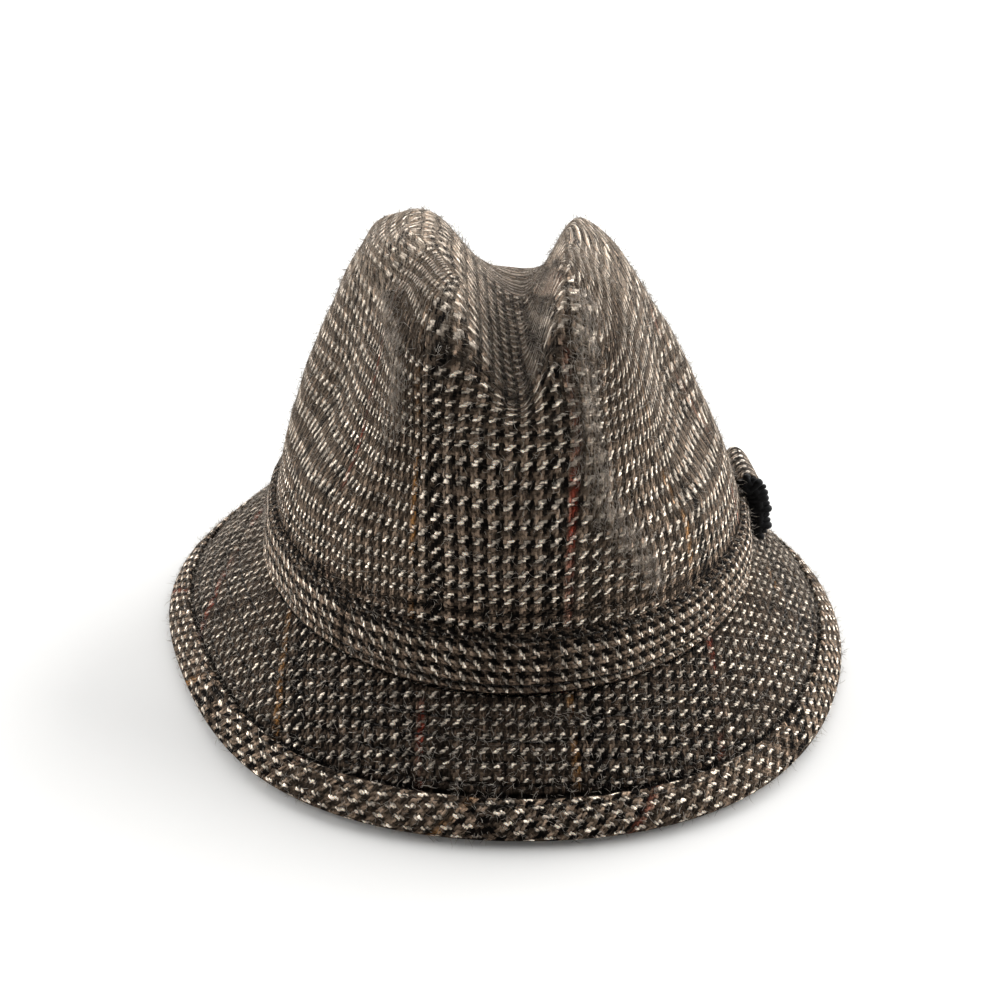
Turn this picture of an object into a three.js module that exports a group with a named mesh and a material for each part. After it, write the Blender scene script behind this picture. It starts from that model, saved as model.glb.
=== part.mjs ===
// A soft tweed fedora: blocked crown with a centre dent, hat band with a side loop,
// turned-down brim and its bound edge. Millimetres, +Z up, the front of the hat faces -Y,
// the wearer's left is +X, and the bound edge stands on z = 0.
import * as THREE from "three";

// ---- driving sizes -------------------------------------------------------------------

const AROUND = 64; // steps round the hat
const UP_CROWN = 19; // steps from the crown's foot to its top
const TURN = 2 * Math.PI;

const GAP = 0.3; // clearance left between neighbouring pieces
const CROWN_WALL = 2.0;
const BAND_WALL = 1.8;
const BRIM_WALL = 3.0; // two layers of cloth stitched together
const BINDING_WALL = 1.1;
const BINDING_WIDTH = 9.0;

// The undented crown, from its foot (share 0) to its top (share 1): how high each section
// is, and how far it reaches from the middle to each side.
const CROWN_SECTIONS = [
  { share: 0.0, rise: 27, left: 86.5, right: 90, front: 105.5, back: 104 },
  { share: 0.16, rise: 48, left: 82, right: 85, front: 101.5, back: 101 },
  { share: 0.36, rise: 77, left: 73.9, right: 72.2, front: 93, back: 93 },
  { share: 0.56, rise: 105, left: 63, right: 55.9, front: 83, back: 80 },
  { share: 0.74, rise: 129.4, left: 51.1, right: 38.2, front: 69, back: 60 },
  { share: 0.88, rise: 139, left: 39.8, right: 22.4, front: 47, back: 38 },
  { share: 1.0, rise: 146, left: 0, right: 0, front: 0, back: 0 },
];
const CROWN_SQUARENESS = 2.0; // 2 is an ellipse, more is squarer

// The centre dent at its front and back ends: where its floor runs, how high it lies, how
// far the dent spreads to each side, and how narrow its floor is for that spread.
const DENT = {
  front: { y: -80, middle: 0, floor: 107.5, left: 18, right: 11, narrowness: 2.0 },
  back: { y: 75, middle: 8.8, floor: 102.4, left: 45.6, right: 25.8, narrowness: 0.88 },
  leftOpening: 0.33, // below 1 the dent opens out soon after its front end
  rightOpening: 0.7,
  edgeSoftness: 3.0,
};

// Hand-made folds: depth inwards at a place on the crown, negative where cloth stands out.
const FOLDS = [
  { name: "left pinch", azimuth: -148, share: 0.52, wide: 17, tall: 0.16, depth: 5.0 },
  { name: "right pinch", azimuth: -36, share: 0.5, wide: 17, tall: 0.16, depth: 5.0 },
  { name: "left ridge", azimuth: -116, share: 0.62, wide: 13, tall: 0.16, depth: -3.0 },
  { name: "right ridge", azimuth: -63, share: 0.6, wide: 11, tall: 0.16, depth: -2.5 },
];

// How far the rim reaches from the middle in each direction, measured from +X.
const RIM_REACH = [
  { azimuth: 0, reach: 121.1 },
  { azimuth: 30, reach: 111.0 },
  { azimuth: 60, reach: 125.8 },
  { azimuth: 90, reach: 136.1 },
  { azimuth: 120, reach: 129.6 },
  { azimuth: 150, reach: 118.4 },
  { azimuth: 180, reach: 122.1 },
  { azimuth: 210, reach: 124 },
  { azimuth: 240, reach: 134.4 },
  { azimuth: 270, reach: 136.1 },
  { azimuth: 300, reach: 137.4 },
  { azimuth: 330, reach: 129.2 },
];
const RIM_RISE = 1.9; // height of the rim's middle line
const BRIM_BOW = 1.5; // how far the brim's slope bulges upwards between crown and rim
const UP_BRIM = 4; // steps along the brim's slope

const BAND = { bottomRise: 29.2, topRise: 47.5, bulge: 0.5 };

// The loop's middle line, as a side view looking along the hat: x outwards, z up.
const LOOP_PATH = [
  { x: 85.9, z: 50.2 },
  { x: 88.6, z: 52.4 },
  { x: 92.4, z: 48.6 },
  { x: 95.0, z: 39.5 },
  { x: 95.6, z: 31.5 },
  { x: 94.2, z: 28.4 },
];
const LOOP = { frontY: -12, backY: 12, wall: 2.4, steps: 18 };
const EDGING = { thin: 3.0, thick: 5.6, deep: 3.0, sides: 8, steps: 20 };

// ---- helpers -------------------------------------------------------------------------

const radians = (degrees) => (degrees * Math.PI) / 180;
const mix = (a, b, t) => a + (b - a) * t;
const clamp01 = (t) => Math.min(Math.max(t, 0), 1);

/** Smooth curve through the rows of a table: every column but share, at this share. */
function tableAt(rows, share) {
  const last = rows.length - 1;
  let i = 0;
  while (i < last - 1 && share > rows[i + 1].share) i += 1;
  const span = rows[i + 1].share - rows[i].share;
  const t = (share - rows[i].share) / span;
  const slope = (key, k) => {
    if (k === last && key === "rise") return 0; // the top is level
    const before = rows[Math.max(k - 1, 0)];
    const after = rows[Math.min(k + 1, last)];
    return ((after[key] - before[key]) / (after.share - before.share)) * span;
  };
  const out = {};
  for (const key of Object.keys(rows[0])) {
    const a = rows[i][key];
    const b = rows[i + 1][key];
    const c = 3 * (b - a) - 2 * slope(key, i) - slope(key, i + 1);
    const d = 2 * (a - b) + slope(key, i) + slope(key, i + 1);
    out[key] = a + t * (slope(key, i) + t * (c + t * d));
  }
  return out;
}

/** Point of an oval at an angle, given its reach to each side and its squareness. */
function ovalPoint(reach, squareness, angle) {
  const power = 2 / squareness;
  const c = Math.cos(angle);
  const s = Math.sin(angle);
  return {
    x: (c < 0 ? reach.left : reach.right) * Math.sign(c) * Math.abs(c) ** power,
    y: (s < 0 ? reach.front : reach.back) * Math.sign(s) * Math.abs(s) ** power,
  };
}

/** The closed solid made by carrying a profile round the hat. A closed profile gives a
 *  ring; one whose first and last points are the same at every angle gives a cap. */
function sweptSolid(profileAt, isCap = false) {
  const profiles = Array.from({ length: AROUND }, (_, i) => profileAt((i / AROUND) * TURN));
  const count = profiles[0].length;
  const edges = isCap ? count - 1 : count;
  const index = [];
  const vertex = (i, j) => (i % AROUND) * count + (j % count);
  for (let i = 0; i < AROUND; i += 1) {
    for (let j = 0; j < edges; j += 1) {
      const corners = [vertex(i, j), vertex(i + 1, j), vertex(i + 1, j + 1), vertex(i, j + 1)];
      if (!(isCap && j === 0)) index.push(corners[0], corners[1], corners[2]);
      if (!(isCap && j === edges - 1)) index.push(corners[0], corners[2], corners[3]);
    }
  }
  const geometry = new THREE.BufferGeometry();
  geometry.setAttribute("position", new THREE.Float32BufferAttribute(profiles.flat(2), 3));
  geometry.setIndex(index);
  return facingOut(geometry);
}

/** The same geometry with its faces turned to point outwards, and its normals set. */
function facingOut(geometry) {
  const position = geometry.getAttribute("position");
  const index = geometry.getIndex().array;
  const corner = [0, 1, 2].map(() => new THREE.Vector3());
  let volume = 0;
  for (let i = 0; i < index.length; i += 3) {
    corner.forEach((point, k) => point.fromBufferAttribute(position, index[i + k]));
    volume += corner[0].dot(corner[1].clone().cross(corner[2]));
  }
  if (volume < 0) {
    for (let i = 0; i < index.length; i += 3) {
      [index[i + 1], index[i + 2]] = [index[i + 2], index[i + 1]];
    }
  }
  geometry.computeVertexNormals();
  return geometry;
}

// ---- crown ---------------------------------------------------------------------------

/** A point of the crown: inset is 0 on its outer face and the wall on its inner face. */
function crownPoint(angle, share, inset = 0) {
  const section = tableAt(CROWN_SECTIONS, share);
  const point = ovalPoint(section, CROWN_SQUARENESS, angle);
  const radius = Math.hypot(point.x, point.y);
  const azimuth = (Math.atan2(point.y, point.x) * 180) / Math.PI;
  let pushed = radius > 0 ? inset : 0;
  for (const fold of FOLDS) {
    const turn = ((azimuth - fold.azimuth + 540) % 360) - 180;
    const rise = share - fold.share;
    pushed += fold.depth * Math.exp(-((turn / fold.wide) ** 2) - (rise / fold.tall) ** 2);
  }
  const scale = radius > 0 ? Math.max(radius - pushed, 0) / radius : 0;
  const x = point.x * scale;
  const y = point.y * scale;
  const topInset = inset * clamp01(share / 0.4); // the foot stays level
  return [x, y, dented(x, y, section.rise - topInset, inset)];
}

/** The height left after the centre dent is pressed in, at a place on the crown. */
function dented(x, y, rise, inset) {
  const { front, back } = DENT;
  const along = clamp01((y - front.y) / (back.y - front.y));
  const middle = mix(front.middle, back.middle, along);
  const opening = x < middle ? along ** DENT.leftOpening : along ** DENT.rightOpening;
  const side = x < middle ? "left" : "right";
  const width = mix(front[side], back[side], opening) + inset;
  const sideways = clamp01(Math.abs(x - middle) / width);
  const narrowness = mix(front.narrowness, back.narrowness, along);
  const press = (0.5 + 0.5 * Math.cos(Math.PI * sideways)) ** narrowness;
  const floor = mix(front.floor, back.floor, along) - inset;
  const above = DENT.edgeSoftness * Math.log1p(Math.exp((rise - floor) / DENT.edgeSoftness));
  return rise - above * press;
}

/** The blocked crown: from the inner top down its inside, and up its outside to the top. */
function crownGeometry() {
  return sweptSolid((angle) => {
    const shares = Array.from({ length: UP_CROWN + 1 }, (_, i) => i / UP_CROWN);
    const inside = shares.map((share) => crownPoint(angle, share, CROWN_WALL)).reverse();
    const outside = shares.map((share) => crownPoint(angle, share));
    return [...inside, ...outside];
  }, true);
}

// ---- band ----------------------------------------------------------------------------

/** The share of the crown's height at which it has this rise, near the crown's foot. */
function shareAtRise(rise) {
  const [foot, next] = CROWN_SECTIONS;
  return (next.share * (rise - foot.rise)) / (next.rise - foot.rise);
}

/** The hat band: a ring that follows the crown's wall and bulges a little. */
function bandGeometry() {
  const levels = [0, 0.08, 0.36, 0.64, 0.92, 1];
  return sweptSolid((angle) => {
    const at = (level, out) => {
      const rise = mix(BAND.bottomRise, BAND.topRise, level);
      const [x, y] = crownPoint(angle, shareAtRise(rise), -out);
      return [x, y, rise];
    };
    const edge = 0.5; // how much the band's edges are rounded over
    const out = (level) =>
      GAP + BAND_WALL + BAND.bulge * Math.sin(Math.PI * level) - (level % 1 ? 0 : edge);
    return [
      ...levels.map((level) => at(level, GAP)),
      ...levels.toReversed().map((level) => at(level, out(level))),
    ];
  });
}

// ---- brim and binding ----------------------------------------------------------------

/** How far the rim reaches at an azimuth in degrees: a smooth curve through its table. */
function rimReach(azimuth) {
  const count = RIM_REACH.length;
  const step = (((azimuth + 720) % 360) / 360) * count;
  const row = Math.floor(step) % count;
  const t = step - Math.floor(step);
  const [a, b, c, d] = [-1, 0, 1, 2].map((k) => RIM_REACH[(row + k + count) % count].reach);
  const bend = 2 * a - 5 * b + 4 * c - d;
  const twist = 3 * b - a - 3 * c + d;
  return 0.5 * (2 * b + t * (c - a + t * (bend + t * twist)));
}

/** The brim's slope at one angle: gives the point that lies at a share of the way from
 *  crown to rim, raised square off the slope, and how long the slope is. */
function brimSlope(angle) {
  const [innerX, innerY, innerZ] = crownPoint(angle, 0, -GAP);
  const inner = Math.hypot(innerX, innerY);
  const reach = rimReach((Math.atan2(innerY, innerX) * 180) / Math.PI);
  const rim = { x: (innerX * reach) / inner, y: (innerY * reach) / inner };
  const run = reach - inner;
  const drop = RIM_RISE - innerZ;
  const point = (t, raised, onwards = 0) => {
    const steepness = drop + 4 * BRIM_BOW * (1 - 2 * t);
    const slope = Math.hypot(run, steepness);
    const out = run * t + (-steepness * raised + run * onwards) / slope;
    const z = innerZ + drop * t + 4 * BRIM_BOW * t * (1 - t);
    const up = z + (run * raised + steepness * onwards) / slope;
    return [mix(innerX, rim.x, out / run), mix(innerY, rim.y, out / run), Math.max(up, 0)];
  };
  return { point, length: Math.hypot(run, drop) };
}

/** The brim: a sloping ring of even thickness whose outer edge lies inside the binding. */
function brimGeometry() {
  return sweptSolid((angle) => {
    const { point, length } = brimSlope(angle);
    const half = BRIM_WALL / 2;
    const end = 1 - (BINDING_WALL + GAP) / length;
    const shares = Array.from({ length: UP_BRIM + 1 }, (_, i) => (end * i) / UP_BRIM);
    const inner = (t) => (t === 0 ? half * 0.6 : 0); // keeps the inner edge clear of the crown
    return [
      ...shares.map((t) => point(t, half, inner(t))),
      ...shares.toReversed().map((t) => point(t, -half, -inner(t) / 3)),
    ];
  });
}

/** The binding: a fold of cloth round the brim's edge, flat below where it stands. */
function bindingGeometry() {
  return sweptSolid((angle) => {
    const { point, length } = brimSlope(angle);
    const inner = BRIM_WALL / 2 + GAP;
    const outer = inner + BINDING_WALL;
    const start = 1 - BINDING_WIDTH / length;
    const end = 1 - BINDING_WALL / length;
    const land = 2.2; // the flat that the hat stands on
    return [
      point(start, outer),
      point(1 - 0.2 * (1 - start), outer),
      point(1, outer * 0.7, 0.5),
      point(1, 0, 1.0),
      withHeight(point(1, -outer * 0.55, 0.6), 0),
      withHeight(point(1, -outer * 0.55, 0.6 - land), 0),
      point(start, -outer),
      point(start, -inner),
      point(end, -inner),
      point(end, inner),
      point(start, inner),
    ];
  });
}

const withHeight = ([x, y], z) => [x, y, z];

// ---- loop ----------------------------------------------------------------------------

const loopLine = new THREE.CatmullRomCurve3(
  LOOP_PATH.map(({ x, z }) => new THREE.Vector3(x, z, 0)),
);

/** The points on one side of the loop's middle line, in its own flat side view. */
function besideLoop(distanceAt, steps) {
  return Array.from({ length: steps + 1 }, (_, i) => {
    const share = i / steps;
    const tangent = loopLine.getTangentAt(share);
    const normal = new THREE.Vector2(-tangent.y, tangent.x);
    const middle = loopLine.getPointAt(share);
    return new THREE.Vector2(middle.x, middle.y).addScaledVector(normal, distanceAt(share));
  });
}

/** A flat outline drawn in the side view, made as deep as it runs along the hat. */
function acrossLoop(outline, frontY, backY) {
  const geometry = new THREE.ExtrudeGeometry(new THREE.Shape(outline), {
    depth: backY - frontY,
    bevelEnabled: false,
  });
  geometry.rotateX(Math.PI / 2);
  geometry.translate(0, backY, 0);
  return geometry;
}

/** The cloth loop that stands over the band. */
function loopGeometry() {
  const half = LOOP.wall / 2;
  const outer = besideLoop(() => half, LOOP.steps);
  const inner = besideLoop(() => -half, LOOP.steps);
  return acrossLoop([...outer, ...inner.reverse()], LOOP.frontY, LOOP.backY);
}

/** The black edge of the loop: a soft roll, thin where it leaves the band. */
function edgingGeometry() {
  const half = (share) => mix(EDGING.thin, EDGING.thick, Math.sin(Math.PI * share * 0.62)) / 2;
  const outer = besideLoop(half, EDGING.steps);
  const inner = besideLoop((share) => -half(share), EDGING.steps);
  const front = LOOP.frontY - GAP;
  return acrossLoop([...outer, ...inner.reverse()], front - EDGING.deep, front);
}

// ---- the hat -------------------------------------------------------------------------

const cloth = (color) => new THREE.MeshStandardMaterial({ color, roughness: 0.95, metalness: 0 });
const PIECES = [
  { name: "crown", geometry: crownGeometry(), material: cloth(0x6f665c) },
  { name: "hat_band", geometry: bandGeometry(), material: cloth(0x5f574e) },
  { name: "band_loop", geometry: loopGeometry(), material: cloth(0x7a7268) },
  { name: "loop_edging", geometry: edgingGeometry(), material: cloth(0x0c0c0d) },
  { name: "brim", geometry: brimGeometry(), material: cloth(0x5b534a) },
  { name: "brim_binding", geometry: bindingGeometry(), material: cloth(0x544c44) },
];

const hat = new THREE.Group();
hat.name = "fedora";
for (const { name, geometry, material } of PIECES) {
  const piece = new THREE.Mesh(geometry, material);
  piece.name = name;
  hat.add(piece);
}

export default hat;
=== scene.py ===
"""A soft tweed fedora: blocked crown with a centre dent, hat band with a side loop,
turned-down brim and its bias-bound edge, finished in checked woollen twill.

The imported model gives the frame. Tables are in millimetres, as the part's are, and
everything placed in the scene is in metres. The front of the hat faces -Y, the wearer's
left is +X, and the bound edge stands on z = 0.
"""

import logging
import math
from collections.abc import Sequence
from dataclasses import dataclass
from enum import Enum

import bpy
import numpy as np
from mathutils import Matrix, Vector


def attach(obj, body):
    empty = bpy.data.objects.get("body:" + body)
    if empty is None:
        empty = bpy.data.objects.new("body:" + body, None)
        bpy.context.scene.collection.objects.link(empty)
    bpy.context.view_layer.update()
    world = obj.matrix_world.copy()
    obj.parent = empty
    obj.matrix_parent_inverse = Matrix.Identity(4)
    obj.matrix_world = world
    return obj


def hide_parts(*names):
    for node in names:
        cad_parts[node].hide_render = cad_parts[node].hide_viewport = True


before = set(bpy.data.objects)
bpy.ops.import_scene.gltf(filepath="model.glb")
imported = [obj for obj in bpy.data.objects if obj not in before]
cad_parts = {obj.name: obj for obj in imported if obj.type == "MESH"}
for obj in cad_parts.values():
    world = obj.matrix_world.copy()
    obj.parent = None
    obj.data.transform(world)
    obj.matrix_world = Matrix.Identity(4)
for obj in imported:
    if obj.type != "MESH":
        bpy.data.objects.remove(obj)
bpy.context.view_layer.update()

LOG = logging.getLogger("fedora")
MM = 0.001
TURN = 2.0 * math.pi
BACK = math.pi / 2  # every ring starts and ends at the middle of the back

Array = np.ndarray
Colour = tuple[float, float, float]
Lumps = tuple[tuple[float, float, int], ...]  # each layer's height, size and seed


# ---- small maths ----------------------------------------------------------------------


def mix(a: Array | float, b: Array | float, t: Array | float) -> Array | float:
    """The value a share t of the way from a to b."""
    return a + (b - a) * t


def clamp01(t: Array) -> Array:
    """The value held between 0 and 1."""
    return np.clip(t, 0.0, 1.0)


def ease(t: Array) -> Array:
    """A smooth step from 0 to 1."""
    t = clamp01(t)
    return t * t * (3 - 2 * t)


def bump(t: Array, middle: Array | float, width: float) -> Array:
    """A smooth bell of height 1 round a middle."""
    return np.exp(-(((t - middle) / width) ** 2))


def unit(v: Array) -> Array:
    """Vectors scaled to length 1 along the last axis."""
    return v / np.maximum(np.linalg.norm(v, axis=-1, keepdims=True), 1e-12)


def run_length(points: Array, axis: int) -> Array:
    """How far each point lies along its row of points.

    Args:
        points: positions, with the coordinates on the last axis.
        axis: the axis that a row runs along.

    Returns:
        Distances from the first point, shaped as points without the last axis.
    """
    steps = np.linalg.norm(np.diff(points, axis=axis), axis=-1)
    start = np.zeros_like(np.take(steps, [0], axis=axis))
    return np.cumsum(np.concatenate([start, steps], axis=axis), axis=axis)


def curve_through(knots: Array, values: Array, slopes: Array, where: Array) -> Array:
    """A smooth curve through a table's rows.

    Args:
        knots: the rows' places, rising.
        values: the rows' values.
        slopes: how steep the curve is at each row.
        where: places to read.

    Returns:
        The values there.
    """
    i = np.clip(np.searchsorted(knots, where, side="right") - 1, 0, len(knots) - 2)
    span = knots[i + 1] - knots[i]
    t = (where - knots[i]) / span
    a, b = values[i], values[i + 1]
    m0, m1 = slopes[i] * span, slopes[i + 1] * span
    return a + t * (m0 + t * (3 * (b - a) - 2 * m0 - m1 + t * (2 * (a - b) + m0 + m1)))


def curve_between(a: Array, b: Array, c: Array, d: Array, t: Array) -> Array:
    """A smooth curve from b to c that heads on from a and towards d.

    Args:
        a: the point before.
        b: the start.
        c: the end.
        d: the point after.
        t: shares of the way from b to c.

    Returns:
        Points on the curve.
    """
    bend = 2 * a - 5 * b + 4 * c - d
    twist = 3 * b - a - 3 * c + d
    return 0.5 * (2 * b + t * (c - a + t * (bend + t * twist)))


def round_the_hat(steps: int) -> Array:
    """Angles once round the hat, from the middle of the back to itself."""
    return BACK + np.linspace(0.0, TURN, steps + 1)


def from_front(x: Array, y: Array) -> Array:
    """The angle from the hat's front, positive towards the wearer's left."""
    return np.arctan2(x, -y)


def unevenness(points: Array, size: float, seed: int) -> Array:
    """Soft lumps of about unit height, the same on every run.

    Args:
        points: positions in millimetres.
        size: how far apart the lumps are, in millimetres.
        seed: which set of lumps.

    Returns:
        One value for each point, roughly between -1 and 1.
    """
    chance = np.random.default_rng(seed)
    total = np.zeros(points.shape[:-1])
    for _ in range(7):
        way = unit(chance.normal(size=3)) * TURN / (size * chance.uniform(0.7, 1.5))
        total = total + np.sin(points @ way + chance.uniform(0, TURN))
    return total / 3.0


def lumps(points: Array, layers: Lumps) -> Array:
    """Unevenness in layers.

    Args:
        points: positions in millimetres.
        layers: each layer's height and size in millimetres and its seed.

    Returns:
        One height for each point, in millimetres.
    """
    return sum(height * unevenness(points, size, seed) for height, size, seed in layers)


@dataclass(frozen=True)
class Growth:
    """How an effect sets in past a place: how much, from where and over how far."""

    amount: float
    start: float
    run: float

    def at(self, value: Array) -> Array:
        """The effect at some places."""
        return self.amount * ease((value - self.start) / self.run)


# ---- making meshes --------------------------------------------------------------------


def deselect() -> None:
    """Nothing is left selected."""
    bpy.ops.object.select_all(action="DESELECT")


def swept_piece(
    name: str, points: Array, cloth: Array, marks: dict[str, Array] | None = None
) -> bpy.types.Object:
    """A closed piece made from a primitive grid whose rows go round the hat.

    Args:
        name: the piece's name.
        points: positions in millimetres, (round, across, 3); rows that meet are equal.
        cloth: where each point lies on its flat cloth in millimetres, (round, across, 2).
        marks: named values between 0 and 1 that its cloth reads, each (round, across).

    Returns:
        The new mesh object, smooth shaded, with a UV map named cloth.
    """
    around, across = points.shape[0] - 1, points.shape[1] - 1
    deselect()
    bpy.ops.mesh.primitive_grid_add(
        x_subdivisions=around, y_subdivisions=across, size=2.0, calc_uvs=False
    )
    piece = bpy.context.active_object
    piece.name = piece.data.name = name
    mesh = piece.data
    flat = np.empty(len(mesh.vertices) * 3)
    mesh.vertices.foreach_get("co", flat)
    flat = flat.reshape(-1, 3)
    i = np.rint((flat[:, 0] + 1) / 2 * around).astype(int)
    j = np.rint((flat[:, 1] + 1) / 2 * across).astype(int)
    mesh.vertices.foreach_set("co", (points[i, j] * MM).ravel())
    corner = np.empty(len(mesh.loops), dtype=np.int32)
    mesh.loops.foreach_get("vertex_index", corner)
    layer = mesh.uv_layers.new(name="cloth")
    layer.data.foreach_set("uv", cloth[i[corner], j[corner]].ravel())
    for mark, value in (marks or {}).items():
        value = np.broadcast_to(value, points.shape[:2])
        mesh.attributes.new(mark, "FLOAT", "POINT").data.foreach_set("value", value[i, j])
    merge_and_face_out(piece)
    return piece


def merge_and_face_out(piece: bpy.types.Object) -> None:
    """Merges a piece's doubled vertices and turns its faces to point outwards.

    Args:
        piece: a mesh object, which becomes the active one.
    """
    deselect()
    piece.select_set(True)
    bpy.context.view_layer.objects.active = piece
    bpy.ops.object.mode_set(mode="EDIT")
    bpy.ops.mesh.select_all(action="SELECT")
    bpy.ops.mesh.remove_doubles(threshold=1e-6)
    bpy.ops.mesh.normals_make_consistent(inside=False)
    bpy.ops.object.mode_set(mode="OBJECT")
    bpy.ops.object.shade_smooth()


def strands(name: str, paths: Array, radii: Array, sides: int) -> bpy.types.Object:
    """Many short closed strands in one mesh, each pointed at both ends.

    Args:
        name: the piece's name.
        paths: their middle lines in millimetres, (strand, point, 3).
        radii: their radii in millimetres, (strand, point), unused at the two ends.
        sides: how many sides each strand has.

    Returns:
        The new mesh object.
    """
    count, length = paths.shape[:2]
    rings = length - 2
    along = unit(paths[:, 2:] - paths[:, :-2])
    start = unit(paths[:, 1] - paths[:, 0])
    least = np.eye(3)[np.argmin(np.abs(start), axis=1)]
    side = unit(np.cross(start, least))[:, None, :]
    side = unit(side - along * np.sum(side * along, axis=-1, keepdims=True))
    other = np.cross(along, side)
    turn = np.linspace(0, TURN, sides, endpoint=False)
    ring = (
        side[:, :, None] * np.cos(turn)[None, None, :, None]
        + other[:, :, None] * np.sin(turn)[None, None, :, None]
    )
    ring = paths[:, 1:-1, None] + ring * radii[:, 1:-1, None, None]
    each = 2 + rings * sides
    verts = np.concatenate(
        [paths[:, :1], ring.reshape(count, rings * sides, 3), paths[:, -1:]], axis=1
    )
    k = np.arange(sides)
    following = (k + 1) % sides
    faces = [(0, int(1 + b), int(1 + a)) for a, b in zip(k, following)]
    for r in range(rings - 1):
        low, high = 1 + r * sides, 1 + (r + 1) * sides
        for a, b in zip(k, following):
            faces.append((int(low + a), int(low + b), int(high + b)))
            faces.append((int(low + a), int(high + b), int(high + a)))
    last = 1 + (rings - 1) * sides
    faces += [(each - 1, int(last + a), int(last + b)) for a, b in zip(k, following)]
    base = np.array(faces, dtype=np.int64)
    index = (base[None] + (np.arange(count) * each)[:, None, None]).reshape(-1)
    mesh = bpy.data.meshes.new(name)
    mesh.vertices.add(count * each)
    mesh.vertices.foreach_set("co", (verts * MM).ravel())
    mesh.loops.add(len(index))
    mesh.loops.foreach_set("vertex_index", index.astype(np.int32))
    mesh.polygons.add(len(index) // 3)
    mesh.polygons.foreach_set("loop_start", np.arange(0, len(index), 3, dtype=np.int32))
    mesh.update(calc_edges=True)
    mesh.shade_smooth()
    piece = bpy.data.objects.new(name, mesh)
    bpy.context.scene.collection.objects.link(piece)
    return piece


# ---- node materials -------------------------------------------------------------------


@dataclass(frozen=True)
class Ramp:
    """How a value is carried from one range to another, and held inside it."""

    low: float
    high: float
    to_low: float = 0.0
    to_high: float = 1.0


class Wire:
    """A value that flows through a material and meets others by plain arithmetic."""

    def __init__(self, bench: "NodeBench", socket: bpy.types.NodeSocket) -> None:
        """Holds the socket that the value comes out of.

        Args:
            bench: the material being made.
            socket: the output socket.
        """
        self.bench = bench
        self.socket = socket

    def __add__(self, other: "Link") -> "Wire":
        """The sum."""
        return self.bench.math("ADD", self, other)

    def __sub__(self, other: "Link") -> "Wire":
        """What is left after taking another value away."""
        return self.bench.math("SUBTRACT", self, other)

    def __rsub__(self, other: float) -> "Wire":
        """What is left of a number after taking this away."""
        return self.bench.math("SUBTRACT", other, self)

    def __mul__(self, other: "Link") -> "Wire":
        """The product."""
        return self.bench.math("MULTIPLY", self, other)

    def __truediv__(self, other: float) -> "Wire":
        """The quotient."""
        return self.bench.math("DIVIDE", self, other)

    def __mod__(self, size: float) -> "Wire":
        """The place in a repeat of some size, never below 0."""
        return self.bench.math("FLOORED_MODULO", self, size)

    def __pow__(self, power: float) -> "Wire":
        """The value raised to a power."""
        return self.bench.math("POWER", self, power)

    def __abs__(self) -> "Wire":
        """The value without its sign."""
        return self.bench.math("ABSOLUTE", self)

    def __lt__(self, other: float) -> "Wire":
        """1 where the value is less, 0 elsewhere."""
        return self.bench.math("LESS_THAN", self, other)

    def __gt__(self, other: float) -> "Wire":
        """1 where the value is more, 0 elsewhere."""
        return self.bench.math("GREATER_THAN", self, other)

    def choose(self, yes: "Link", no: "Link") -> "Wire":
        """One of two values, by this flag of 0 or 1, or a mix by a share between."""
        return self.bench.math("MULTIPLY_ADD", self, self.bench.math("SUBTRACT", yes, no), no)

    def ramp(self, ramp: Ramp) -> "Wire":
        """The value carried from one range to another."""
        numbers = (ramp.low, ramp.high, ramp.to_low, ramp.to_high)
        return self.bench.feed(self.bench.add("MapRange"), self, *numbers)


Link = Wire | float


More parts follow.
